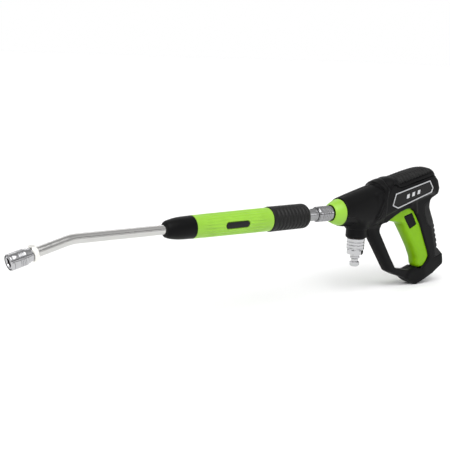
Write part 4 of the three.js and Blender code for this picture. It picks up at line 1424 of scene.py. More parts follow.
        def pad(x: np.ndarray, y: np.ndarray, z: np.ndarray) -> np.ndarray:
            """Measures the pad, whose ribs stand square to the ridge."""
            slope = math.radians(13)
            along = (x - 112) * math.cos(slope) + (z - 40) * math.sin(slope)
            wave = 0.5 + 0.5 * np.cos(2 * math.pi * along / self.rib_pitch)
            ends = ramp(along, -2, 4) * (1 - ramp(along, 92, 97))
            skin = self.ridge(x, y, z) + self.rib_depth * wave**1.2 * ends
            lined = trim_by(skin, -(self.ridge(x, y, z) + self.pad_depth - self.gap), 0.4)
            return trim_by(lined, self.ridge_pad(x, z), 0.7)

        points, faces = surfaced(cover, (58, -28.5, -16), (220, 28.5, 66), 0.95)
        made = piece_of("saddle_cover", points, faces, 60)
        finish_piece(made, Body.GUN, ["top_cover"], self.finishes.nylon)
        points, faces = surfaced(pad, (104, -22, 38), (210, 22, 66), 0.7)
        made = piece_of("ribbed_top_pad", points, faces, 60)
        finish_piece(made, Body.GUN, ["top_grip_pad"], self.finishes.elastomer)

    def build_rear_pad(self) -> None:
        """Makes the soft pad on the back of the handle, with scallops for the palm."""

        def pad(x: np.ndarray, y: np.ndarray, z: np.ndarray) -> np.ndarray:
            """Measures the pad."""
            along = -(z + 22) * math.cos(0.36) + (x - 218) * math.sin(0.36)
            wave = 0.5 + 0.5 * np.cos(2 * math.pi * along / 9.2)
            place = ramp(along, 4, 14) * (1 - ramp(along, 58, 66))
            back = ramp(-self.rear_pad(x, z), 3.5, 8)
            skin = self.handle(x, y, z) + 1.3 * wave**2 * place * back
            lined = trim_by(skin, -(self.handle(x, y, z) + self.pad_depth - self.gap), 0.4)
            return trim_by(lined, self.rear_pad(x, z), 0.8)

        points, faces = surfaced(pad, (182, -16, -94), (244, 16, 13), 0.8)
        made = piece_of("ribbed_palm_pad", points, faces, 60)
        finish_piece(made, Body.GUN, ["rear_grip_pad"], self.finishes.elastomer)

    def build_plates(self) -> None:
        """Makes the side plates: a bright rim, a black panel, and a plain hatch of slanted bars."""
        outer = self.plate
        for side, node in ((-1, "badge_left"), (1, "badge_right")):
            face = self.body_half + 0.5

            def rim(x: np.ndarray, y: np.ndarray, z: np.ndarray) -> np.ndarray:
                """Measures the rim."""
                flat = outer(x, z)
                hoop = np.maximum(flat, -(flat + 1.9))
                across = np.abs(side * y - face + 0.8) - 0.8
                return trim_by(hoop, across, 0.5)

            def panel(x: np.ndarray, y: np.ndarray, z: np.ndarray) -> np.ndarray:
                """Measures the panel."""
                across = np.abs(side * y - face + 1.15) - 0.7
                return trim_by(outer(x, z) + 2.1, across, 0.4)

            reach = sorted((side * (face - 2.2), side * (face + 0.2)))
            low, high = (99, reach[0], -1), (200, reach[1], 46)
            points, faces = surfaced(rim, low, high, 0.5)
            made = piece_of(node + "_rim", points, faces, 50)
            finish_piece(made, Body.GUN, [node], self.finishes.bright_rim)
            points, faces = surfaced(panel, low, high, 0.6)
            made = piece_of(node + "_panel", points, faces, 50)
            finish_piece(made, Body.GUN, [node], self.finishes.lacquer)
            self.build_hatch(side, node, face - 0.35)

    def build_hatch(self, side: int, node: str, face: float) -> None:
        """Lays a row of slanted bars on a plate.

        Args:
            side: -1 for the left plate, 1 for the right.
            node: the plate's node.
            face: how far out the bars stand.
        """
        slope = math.atan2(44.2 - 26.2, 188.6 - 107)
        lean = 2.2
        u = np.array([-3.4, 3.4, 3.4 + lean, -3.4 + lean])
        v = np.array([-3.4, -3.4, 3.4, 3.4])
        x = u * math.cos(slope) - v * math.sin(slope)
        z = u * math.sin(slope) + v * math.cos(slope)
        inner = np.stack([x, np.full(4, -0.5 * side), z], 1)
        outer = np.stack([x * 0.94, np.zeros(4), z * 0.94], 1)
        corners = np.concatenate([inner, outer])
        faces = [[0, 1, 2, 3], [7, 6, 5, 4], [0, 4, 5, 1], [1, 5, 6, 2], [2, 6, 7, 3], [3, 7, 4, 0]]
        model = piece_of(node + "_bar_model", corners - np.array(ORIGIN) / MM, faces, 30)
        middle = np.array((148.5, side * face, 22.8))
        step = 13.0
        spots = [
            middle + step * (n - 1) * np.array((math.cos(slope), 0, math.sin(slope)))
            for n in range(3)
        ]
        made = grown(
            node + "_hatch",
            copy_tree(),
            {"Model": model, "Material": self.finishes.bright_rim},
            np.array(spots),
        )
        made.data.shade_flat()
        bpy.data.objects.remove(model)
        finish_piece(made, Body.GUN, [node], self.finishes.bright_rim)

    def build_screws(self) -> None:
        """Sets the shell screws, driven from the right side."""
        profile = eased(
            [(0, 0), (0, 3.2, 0.5), (-1.9, 3.2, 0.4), (-1.9, 1.7), (-12, 1.7, 0.6), (-12, 0)],
            closed=False,
        )
        across = Line((0, 0, 0), (0, 1, 0), (1, 0, 0))
        points, faces = turned(profile, across, 24)
        # A plain cross is pressed into each head.
        dished = points[:, 1] > -0.3
        arms = np.minimum(np.abs(points[:, 0]), np.abs(points[:, 2]))
        points[dished & (arms < 0.45) & (np.hypot(points[:, 0], points[:, 2]) < 2.4), 1] -= 1.0
        model = piece_of("screw_model", points - np.array(ORIGIN) / MM, faces, 40)
        spots = np.array([(x, half - 0.5, z) for x, z, half in self.screws])
        made = grown(
            "shell_screws",
            copy_tree(),
            {"Model": model, "Material": self.finishes.black_screw},
            spots,
        )
        bpy.data.objects.remove(model)
        nodes = [f"shell_screw_{n + 1}" for n in range(len(self.screws))]
        finish_piece(made, Body.GUN, nodes, self.finishes.black_screw)

    def build_collar(self) -> None:
        """Makes the flared lime collar at the nose."""
        flare = flowing(
            [(-18, 13.9), (-16.5, 15.0), (-14, 16.3), (-10, 18.2), (-6, 19.8), (-3, 20.8), (-1, 21.2),
             (-0.3, 21.2)]
        )
        run = np.linspace(-17.2, -0.9, 18)
        outer = [(float(x), float(flare(x)) + 0.1) for x in run]
        profile = eased(
            [(-18, 12.95, 0.4), (-18, 13.7, 0.4), *outer, (-0.3, 21.3, 0.4), (-0.3, 17), (3.3, 17),
             (3.3, 19.6), (6.3, 19.6), (6.3, 14), (0, 12.95)],
        )
        points, faces = turned(profile, BARREL, 128)
        made = piece_of("flared_collar", points, faces)
        finish_piece(made, Body.GUN, ["nose_collar"], self.finishes.lime_abs)

    def build(self) -> None:
        """Makes every piece of the body."""
        self.build_shells()
        self.build_cover()
        self.build_rear_pad()
        self.build_plates()
        self.build_screws()
        self.build_collar()


# ---- Trigger ----------------------------------------------------------------------------------------
PIVOT = (132.0, 16.0)
TRIGGER_BACK: tuple[Corner, ...] = (
    (124, 16),
    (132, 23.5, 5),
    (141, 19, 4),
    (156, -3, 5),
    (164, -8, 4),
    (180, -28),
    (206, -80, 20),
    (209.5, -90, 4),
    (205, -98, 4),
    (195, -109.5, 6),
)
TRIGGER_FRONT: tuple[Corner, ...] = (
    (186, -109.5, 4),
    (183, -104, 5),
    (180.8, -93, 12),
    (171.5, -76, 30),
    (160, -59, 30),
    (148, -42.5, 30),
    (138, -28.5, 6),
    (126, -25, 8),
    (113, -22.6, 6),
    (104.5, -20.4, 1.5),
    (109, -16.5, 4),
    (121, -10),
)
TRIGGER_FLANK: tuple[Corner, ...] = (
    (197, -108, 4),
    (190, -101, 5),
    (187.5, -91, 12),
    (178, -74, 30),
    (166, -56.5, 30),
    (154, -40, 30),
    (143, -26, 8),
    (124, -22, 8),
    (104.5, -20.4, 1.5),
    (109, -16.5, 4),
    (121, -10),
)
TRIGGER_TRAVEL = math.radians(6.5)


def swung_trigger() -> list[list[Corner]]:
    """Gives the trigger's outline at five places of its swing.

    Returns:
        Five outlines, from rest to fully squeezed.
    """
    spots = eased([*TRIGGER_BACK, *TRIGGER_FRONT], 1.0)
    made = []
    for share in (0.0, 0.25, 0.5, 0.75, 1.0):
        turn = TRIGGER_TRAVEL * share
        c, s = math.cos(turn), math.sin(turn)
        arm = spots - np.array(PIVOT)
        made.append((arm @ np.array([[c, s], [-s, c]]) + np.array(PIVOT)).tolist())
    return made


@dataclass
class Trigger:
    """The lime trigger and the lock button that slides across it."""

    finishes: Finishes
    half: float = 12.2
    lock_corners: tuple[Corner, ...] = (
        (141.4, -16),
        (161.0, -11.2),
        (174.5, -31.8),
        (158.3, -38.6),
    )

    def __post_init__(self) -> None:
        """Draws the outlines."""
        self.middle = Silhouette([*TRIGGER_BACK, *TRIGGER_FRONT], 1.0)
        self.flank = Silhouette([*TRIGGER_BACK[:-1], *TRIGGER_FLANK], 1.0)
        self.lock = Silhouette(self.lock_corners, 1.5)

    def form(self, x: np.ndarray, y: np.ndarray, z: np.ndarray) -> np.ndarray:
        """Gives the distance from the trigger, whose finger face is crowned."""
        share = np.sqrt(np.clip(1 - (y / self.half) ** 2, 0, 1))
        flat = self.middle(x, z) * share + self.flank(x, z) * (1 - share)
        made = slab(flat, y, self.half, 1.6)
        made = trim_by(made, -(self.lock(x, z) - 0.3), 0.6)
        pocket = slab(self.middle(x - 9, z - 3) + 3.4, y, self.half - 2.8, 0.5)
        made = np.maximum(made, -np.maximum(pocket, z + 44))
        made = np.maximum(made, -(np.hypot(x - PIVOT[0], z - PIVOT[1]) - 2.55))
        button = np.maximum(np.abs(y) - 5.3, np.maximum(np.abs(z - 1.8) - 7.0, 126.9 - x))
        button = np.maximum(button, x - 133.2)
        rod = np.maximum(np.abs(y) - 3, np.maximum(np.abs(z - 0.5) - 4.5, np.abs(x - 119.5) - 8))
        return np.maximum(made, -np.minimum(button, rod))

    def lock_form(self, x: np.ndarray, y: np.ndarray, z: np.ndarray) -> np.ndarray:
        """Gives the distance from the lock button."""
        across = np.maximum(-self.half - y, y - self.half + 2.5)
        return trim_by(self.lock(x, z), across, 1.4)

    def build(self) -> None:
        """Makes both pieces."""
        points, faces = surfaced(self.form, (103, -12.6, -110), (211, 12.6, 25), 0.8)
        made = piece_of("squeeze_trigger", points, faces, 60)
        finish_piece(made, Body.TRIGGER, ["trigger"], self.finishes.trigger_abs)
        points, faces = surfaced(self.lock_form, (140, -12.6, -40), (176, 10.2, -10), 0.6)
        made = piece_of("lock_slider", points, faces, 60)
        finish_piece(made, Body.LOCK, ["lock_button"], self.finishes.nylon)


# ---- Couplers and inlet -------------------------------------------------------------------------------
@dataclass
class Coupler:
    """A ball-lock quick coupler: body, sleeve, balls and spring; its seals keep their own meshes."""

    finishes: Finishes
    name: str
    line: Line
    mouth: float
    bore: float
    body: float
    sleeve: float
    sleeve_length: float
    ball: float
    ball_run: float
    ball_radius: float
    spring_from: float
    spring_to: float
    tail: tuple[Corner, ...]
    grooves: tuple[float, ...]
    groove_wide: float
    waist: float
    rides: Body
    sleeve_rides: Body
    metal: bpy.types.Material

    def build(self) -> None:
        """Makes the coupler's pieces."""
        hollow = self.body + 1.35
        rim: list[Corner] = [(self.mouth, hollow, 0.3), (self.mouth, self.sleeve - 1.1, 0.4)]
        rim.append((self.mouth + 1.1, self.sleeve, 0.4))
        for at in self.grooves:
            wide = self.groove_wide
            rim.append((self.mouth + at - wide / 2, self.sleeve, 0.25))
            rim.append((self.mouth + at - wide / 4, self.sleeve - 0.85, 0.2))
            rim.append((self.mouth + at + wide / 4, self.sleeve - 0.85, 0.2))
            rim.append((self.mouth + at + wide / 2, self.sleeve, 0.25))
        back = self.mouth + self.sleeve_length
        if self.waist:
            rim.append((back - self.waist - 1.2, self.sleeve, 0.4))
            rim.append((back - self.waist, self.sleeve - 1.6, 0.4))
        end = self.sleeve - (1.6 if self.waist else 0)
        rim += [(back - 0.5, end, 0.2), (back, end - 0.5, 0.2), (back, hollow, 0.2)]
        rim += [
            (self.spring_from, hollow),
            (self.spring_from, self.body + 0.35),
            (self.ball_run - 2.2, self.body + 0.35),
            (self.ball_run - 2.2, hollow),
        ]
        points, faces = turned(eased(rim, steps=3), self.line, 96)
        made = piece_of(self.name + "_grip_sleeve", points, faces)
        node = self.name + "_coupler_sleeve"
        finish_piece(made, self.sleeve_rides, [node], self.metal)

        # The mouth of the body flares so that a plug finds its way in.
        front = self.mouth + 0.4
        barrel = [
            (front, self.bore + 0.5, 0.3),
            (front, self.body - 0.7, 0.3),
            (front + 0.7, self.body, 0.2),
            *self.tail,
            (self.ball_run + 7.5, 4.5),
            (self.ball_run + 7.5, self.bore),
            (self.ball_run + 1.9, self.bore, 0.2),
            (self.ball_run + 1.4, self.bore + 0.5),
            (self.ball_run - 1.4, self.bore + 0.5),
            (self.ball_run - 1.9, self.bore, 0.2),
            (front + 1.6, self.bore, 0.4),
        ]
        points, faces = turned(eased(barrel, steps=3), self.line, 96)
        made = piece_of(self.name + "_socket_body", points, faces)
        node = self.name + "_coupler_body"
        finish_piece(made, self.rides, [node], self.metal)

        angles = 2 * math.pi * (np.arange(4) + 0.5) / 4
        spots = self.line.place(
            np.full(4, self.ball_run), np.full(4, self.ball_radius), angles
        )
        made = grown(
            self.name + "_lock_balls",
            ball_tree(),
            {"Ball Radius": self.ball * MM, "Material": self.finishes.steel},
            spots,
        )
        nodes = [f"{self.name}_lock_ball_{n + 1}" for n in range(4)]
        finish_piece(made, self.rides, nodes, self.finishes.steel)
        self.build_spring()

    def build_spring(self) -> None:
        """Winds the sleeve's return spring."""
        wire = 0.42
        coil = self.body + 0.72
        low = self.spring_from + 0.4 + wire
        high = self.spring_to - 0.4 - wire
        at = np.array(self.line.start) + low * np.array(self.line.along)
        place = Vector(at * MM) + ORIGIN
        tilt = math.pi / 2 - math.asin(self.line.along[2])
        made = grown(
            self.name + "_sleeve_spring",
            coil_tree(),
            {
                "Turns": 4.0,
                "Length": (high - low) * MM,
                "Coil Radius": coil * MM,
                "Wire Radius": wire * MM,
                "Place": place,
                "Turn": Vector((0, tilt, 0)),
                "Material": self.finishes.wire,
            },
        )
        node = self.name + "_coupler_spring"
        finish_piece(made, self.rides, [node], self.finishes.wire)


@dataclass
class HoseInlet:
    """The boss under the nose, the swivel that turns in it, and the hose nipple."""

    finishes: Finishes
    boss: float = 17.3
    boss_low: float = -44.5
    swivel: float = 14.5
    swivel_high: float = -47.5
    swivel_low: float = -64.0
    hexagon_width: float = 24.0
    nipple: float = 7.85
    nipple_low: float = -92.0

    def build(self) -> None:
        """Makes the boss, the swivel and the plug."""
        low, r = self.boss_low, self.boss
        profile = eased(
            [(low, 11.9), (low, r - 1.8, 0.5), (low + 1.1, r - 0.3, 0.6), (low + 4.2, r, 0.4),
             (low + 4.6, r - 0.25, 0.2), (-30, r - 0.45), (-24, r - 0.2), (-23.7, r - 0.2),
             (-23.7, r + 1), (-21, r + 1), (-21, 11.9)],
        )
        points, faces = turned(profile, INLET, 96)
        made = piece_of("inlet_neck_boss", points, faces)
        finish_piece(made, Body.GUN, ["inlet_boss"], self.finishes.nylon)

        low, high, r = self.swivel_low, self.swivel_high, self.swivel
        profile = [(low, 9.4), (low, r - 1.0, 0.3), (low + 0.9, r, 0.3)]
        for at, wide, deep in ((2.3, 1.2, 0.8), (7.6, 1.4, 1.3), (12.6, 1.2, 0.9)):
            profile += [
                (low + at, r, 0.2),
                (low + at + 0.2, r - deep, 0.15),
                (low + at + wide - 0.2, r - deep, 0.15),
                (low + at + wide, r, 0.2),
            ]
        brim = self.boss_low - 0.6
        profile += [(brim - 0.7, r, 0.3), (brim, r - 0.7, 0.2), (brim, 12.2), (high, 12.2)]
        profile += [(high, 7), (high - 3, 7), (high - 3, 9.4)]
        points, faces = turned(eased(profile, steps=3), INLET, 96)
        made = piece_of("swivel_ring", points, faces)
        finish_piece(
            made, Body.INLET, ["inlet_swivel"], self.finishes.chrome_upright
        )

        top = low - 0.3
        bottom = top - 7.7
        corner = self.hexagon_width / math.sqrt(3)
        e, n = self.nipple_low, self.nipple
        profile = eased(
            [
                (top + 3, 4.5),
                (top + 3, 9, 0.3),
                (top, 9),
                (top, corner - 1.6, 0.3),
                (top - 1.1, corner, 0.2),
                (bottom + 1.1, corner, 0.2),
                (bottom, corner - 1.6, 0.3),
                (bottom, n - 0.9, 0.4),
                (e + 16.6, n - 0.9, 0.3),
                (e + 16.2, n, 0.25),
                (e + 13.8, n, 0.3),
                (e + 12.2, n - 2.3, 0.5),
                (e + 8.4, n - 2.3, 0.5),
                (e + 7.2, n, 0.4),
                (e + 2.2, n, 0.6),
                (e, n - 1.9, 0.5),
                (e, 4.9, 0.3),
                (e + 0.5, 4.5, 0.2),
            ],
            steps=3,
        )
        points, faces = turned(profile, INLET, 96, hexagon(self.hexagon_width))
        made = piece_of("hose_nipple", points, faces, 25)
        finish_piece(
            made, Body.INLET, ["inlet_plug"], self.finishes.chrome_upright
        )


# ---- Lance --------------------------------------------------------------------------------------------
@dataclass
class Lance:
    """The bent tube, its round grip, the plug at its back and the nut at its tip."""

    finishes: Finishes
    tube: float = 6.85
    bend_radius: float = 70.0
    rod: float = 9.8
    grip_back: float = -73.2
    sleeve_back: float = -147.2
    sleeve_front: float = -285.2
    cap_front: float = -331.2
    tip_tube: float = 54.0
    rib_pitch: float = 7.0
    rib_depth: float = 1.5
    flutes: int = 22
    flute_depth: float = 0.75
    pad_middle: float = -214.2
    pad_length: float = 43.0
    pad_height: float = 10.0

    def build(self) -> None:
        """Makes every piece of the lance."""
        self.build_tube()
        self.build_plug()
        self.build_cap()
        self.build_sleeve()
        self.build_pads()
        self.build_rear_grip()
        self.build_nut()

    def build_tube(self) -> None:
        """Draws the bent tube."""
        back = Vector((self.grip_back - 0.5, 0, 0)) * MM + ORIGIN
        corner = Vector((BEND_X, 0, 0)) * MM + ORIGIN
        along = Vector(TIP.along)
        front = corner - along * self.tip_tube * MM
        made = grown(
            "bent_lance_tube",
            tube_tree(),
            {
                "Back": back,
                "Corner": corner,
                "Front": front,
                "Bend Radius": self.bend_radius * MM,
                "Tube Radius": self.tube * MM,
                "Material": self.finishes.drawn_tube,
            },
        )
        made.data.set_sharp_from_angle(angle=math.radians(50))
        finish_piece(made, Body.LANCE, ["lance_tube"], self.finishes.drawn_tube)

    def build_plug(self) -> None:
        """Turns the rod that plugs into the outlet coupler."""
        front, r = self.grip_back - 20, self.rod
        profile = eased(
            [
                (front, self.tube + 0.3),
                (front, r),
                (-54.6, r, 0.3),
                (-54.1, r - 0.8, 0.15),
                (-52.9, r - 0.8, 0.15),
                (-52.4, r, 0.3),
                (-50.2, r, 0.4),
                (-50.2, 6.85, 0.2),
                (-42.7, 6.85, 0.3),
                (-41.9, 5.3, 0.3),
                (-38.1, 5.3, 0.3),
                (-37.3, 6.85, 0.3),
                (-34.8, 6.85),
                (-34.3, 6.25),
                (-33, 6.25, 0.4),
                (-33, 3.4, 0.3),
                (self.grip_back, 3.4),
                (self.grip_back, self.tube + 0.3),
            ],
            steps=3,
        )

        def flats(run: np.ndarray, radius: np.ndarray, angle: np.ndarray) -> np.ndarray:
            """Mills two spanner flats into the rod."""
            there = ramp(run, -71.5, -71.1) * (1 - ramp(run, -59.3, -58.9))
            off = (angle + math.pi / 2) % math.pi - math.pi / 2
            flat = 9.0 / np.maximum(np.cos(off), 0.2)
            return np.where(there > 0.5, np.minimum(radius, flat), radius)

        at = np.where((profile[:, 0] == front) & (profile[:, 1] == r))[0][0] + 1
        run = np.array([-72.5, -71.6, -71.2, -65, -59.3, -58.9])
        extra = np.stack([run, np.full(len(run), r)], 1)
        profile = np.insert(profile, at, extra, 0)
        points, faces = turned(profile, BARREL, 96, flats)
        made = piece_of("lance_plug_rod", points, faces, 25)
        finish_piece(made, Body.LANCE, ["lance_plug"], self.finishes.chrome_painted_dark)

    def build_cap(self) -> None:
        """Turns the black cap at the front of the grip."""
        front, back = self.cap_front, self.sleeve_front - 0.3
        bulge = flowing(
            [(front + 1, 11.2), (front + 4, 12.5), (front + 10, 14.0), (front + 18, 15.4),
             (front + 27, 16.2), (front + 37, 16.5), (back, 16.7)]
        )
        run = np.linspace(front + 2, back - 1, 24)
        outer = [(float(x), float(bulge(x))) for x in run]
        inner = 14.2
        profile = eased(
            [
                (front, self.tube + 0.3),
                (front, 9.6, 1.2),
                *outer,
                (back, 16.5, 0.5),
                (back, inner),
                (back + 8, inner),
                (back + 8, self.tube + 0.3),
            ],
        )
        points, faces = turned(profile, BARREL, 112)
        made = piece_of("grip_nose_cap", points, faces)
        finish_piece(made, Body.LANCE, ["grip_front_cap"], self.finishes.nylon)

    def pad_reach(self, run: np.ndarray, swing: np.ndarray) -> np.ndarray:
        """Gives the distance from the pad's long oval, on the unrolled sleeve.

        Args:
            run: places along the barrel line.
            swing: places round the sleeve from the pad's middle.

        Returns:
            The distance, negative inside.
        """
        half = self.pad_height / 2
        beyond = np.maximum(np.abs(run - self.pad_middle) - self.pad_length / 2 + half, 0)
        return np.hypot(beyond, swing) - half

    def build_sleeve(self) -> None:
        """Turns the lime sleeve, with flutes along it and a bed for each pad."""
        front, back = self.sleeve_front, self.sleeve_back
        crown = flowing([(front, 16.8), (-250, 17.15), (-216, 17.4), (-180, 17.75), (back, 17.9)])
        run = np.concatenate(
            [[front, front + 0.3], np.arange(front + 0.8, back - 0.5, 0.6), [back - 0.3, back]]
        )
        drop = np.zeros(len(run))
        drop[[0, -1]] = 0.35
        outer = np.stack([run, crown(run) - drop], 1)
        inner = np.array([(back, 14.5), (front, 14.5)])
        profile = np.concatenate([outer, inner])

        def flute(x: np.ndarray, radius: np.ndarray, angle: np.ndarray) -> np.ndarray:
            """Cuts the flutes and the beds."""
            skin = radius > 15
            fade = ramp(x, front + 9, front + 20) * (1 - ramp(x, back - 20, back - 9))
            dents = np.ones_like(x)
            wave = 0.5 + 0.5 * np.cos(self.flutes * angle)
            for side in (math.pi / 2, 3 * math.pi / 2):
                swing = (angle - side) * 17.4
                reach = self.pad_reach(x, swing)
                dents = dents * ramp(reach, 1.5, 5.0)
                radius = np.where(skin, radius - 1.9 * (1 - ramp(reach, 0.1, 0.75)), radius)
            return np.where(skin, radius - self.flute_depth * wave**2 * fade * dents, radius)

        points, faces = turned(profile, BARREL, 208, flute)
        made = piece_of("lime_grip_sleeve", points, faces, 50)
        finish_piece(made, Body.LANCE, ["grip_sleeve"], self.finishes.lime_abs)

    def build_pads(self) -> None:
        """Makes the soft oval let into each side of the sleeve."""
        for side, node in ((-1, "grip_pad_left"), (1, "grip_pad_right")):

            def pad(x: np.ndarray, y: np.ndarray, z: np.ndarray) -> np.ndarray:
                """Measures the pad."""
                radius = np.hypot(y, z)
                swing = np.arctan2(z, side * y) * 17.4
                flat = self.pad_reach(x, swing) + 0.25
                skin = np.maximum(radius - 17.25, 15.9 - radius)
                return trim_by(flat, skin, 0.8)

            reach = sorted((side * 15, side * 17.6))
            low = (self.pad_middle - 22, reach[0], -6)
            high = (self.pad_middle + 22, reach[1], 6)
            points, faces = surfaced(pad, low, high, 0.45)
            made = piece_of(node + "_inlay", points, faces, 60)
            finish_piece(made, Body.LANCE, [node], self.finishes.elastomer)

    def build_rear_grip(self) -> None:
        """Turns the ribbed black part of the grip; the ribs die out over its top and bottom."""
        front, back = self.sleeve_back + 0.3, self.grip_back
        crown = flowing(
            [(front, 18.3), (front + 1.5, 18.9), (front + 12, 19.1), (front + 40, 19.25),
             (back - 8, 19.3), (back - 4, 18.9), (back - 1.6, 17.7), (back - 0.4, 15.8), (back, 14.2)]
        )
        run = np.concatenate([np.arange(front, back - 6, 0.5), np.arange(back - 6, back, 0.25), [back]])
        outer = np.stack([run, np.minimum(crown(run), 19.2)], 1)
        rest = np.array(
            [
                (back, self.rod + 0.3),
                (self.grip_back - 20.3, self.rod + 0.3),
                (self.grip_back - 20.3, self.tube + 0.3),
                (self.sleeve_back - 8, self.tube + 0.3),
                (self.sleeve_back - 8, 14.2),
                (front, 14.2),
            ]
        )
        profile = np.concatenate([outer, rest])
        first, last = front + 9.5, back - 8.5

        def ribbed(x: np.ndarray, radius: np.ndarray, angle: np.ndarray) -> np.ndarray:
            """Cuts the valleys between the ribs."""
            skin = (radius > 15) & (x >= front)
            turn = (x - first) / self.rib_pitch
            valley = np.exp(-(((turn - np.round(turn)) * self.rib_pitch / 1.25) ** 2))
            where = ramp(x, first - 2.5, first) * (1 - ramp(x, last, last + 2.5))
            flank = ramp(np.abs(np.sin(angle)), 0.34, 0.62)
            return np.where(skin, radius - self.rib_depth * valley * where * flank, radius)

        points, faces = turned(profile, BARREL, 144, ribbed)
        made = piece_of("ribbed_rear_grip", points, faces, 50)
        finish_piece(made, Body.LANCE, ["grip_rear"], self.finishes.elastomer)

    def build_nut(self) -> None:
        """Turns the pale hexagon nut behind the tip coupler."""
        back = -self.tip_tube + 2
        front = back - 6.5
        flats = 20.6
        corner = flats / math.sqrt(3)
        profile = eased(
            [
                (front, 7.0),
                (front, corner - 1.3, 0.3),
                (front + 0.9, corner, 0.2),
                (back - 0.9, corner, 0.2),
                (back, corner - 1.3, 0.3),
                (back, self.tube + 0.3, 0.2),
                (-self.tip_tube - 0.3, self.tube + 0.3),
                (-self.tip_tube - 0.3, 4.5),
                (front + 3, 4.5),
                (front + 3, 7.0),
            ],
            steps=3,
        )
        points, faces = turned(profile, TIP, 96, hexagon(flats))
        made = piece_of("tip_hexagon_nut", points, faces, 25)
        finish_piece(made, Body.LANCE, ["tip_nut"], self.finishes.white_zinc)


# ---- Inner parts that keep their own meshes ------------------------------------------------------------
@dataclass
class InnerParts:
    """The valve, its seals and the other hidden parts."""

    finishes: Finishes

    def dress(self) -> None:
        """Gives each its material."""
        chosen = {
            "valve_body": self.finishes.brass,
            "valve_gland": self.finishes.brass,
            "valve_seat": self.finishes.steel,
            "valve_stem": self.finishes.steel,
            "trigger_pin": self.finishes.steel,
            "stem_oring": self.finishes.nitrile,
            "swivel_oring": self.finishes.nitrile,
            "outlet_coupler_oring": self.finishes.nitrile,
            "tip_coupler_oring": self.finishes.nitrile,
            "outlet_snap_ring": self.finishes.wire,
            "tip_snap_ring": self.finishes.wire,
            "grip_core": self.finishes.nylon,
        }
        for name, material in chosen.items():
            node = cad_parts[name]
            node.data.materials.clear()
            node.data.materials.append(material)
            LOG.info("%s keeps its mesh, in %s", name, material.name)

    def build(self) -> None:
        """Winds the valve's spring, which closes the stem."""
        wire, low, high = 0.85, 46.9, 61.6
        made = grown(
            "valve_return_spring",
            coil_tree(),
            {
                "Turns": 4.5,
                "Length": (high - low - 2 * wire) * MM,
                "Coil Radius": 4.95 * MM,
                "Wire Radius": wire * MM,
                "Place": Vector(((low + wire) * MM, 0, 0)) + ORIGIN,
                "Turn": Vector((0, math.pi / 2, 0)),
                "Material": self.finishes.wire,
            },
        )
        finish_piece(made, Body.GUN, ["valve_spring"], self.finishes.wire)


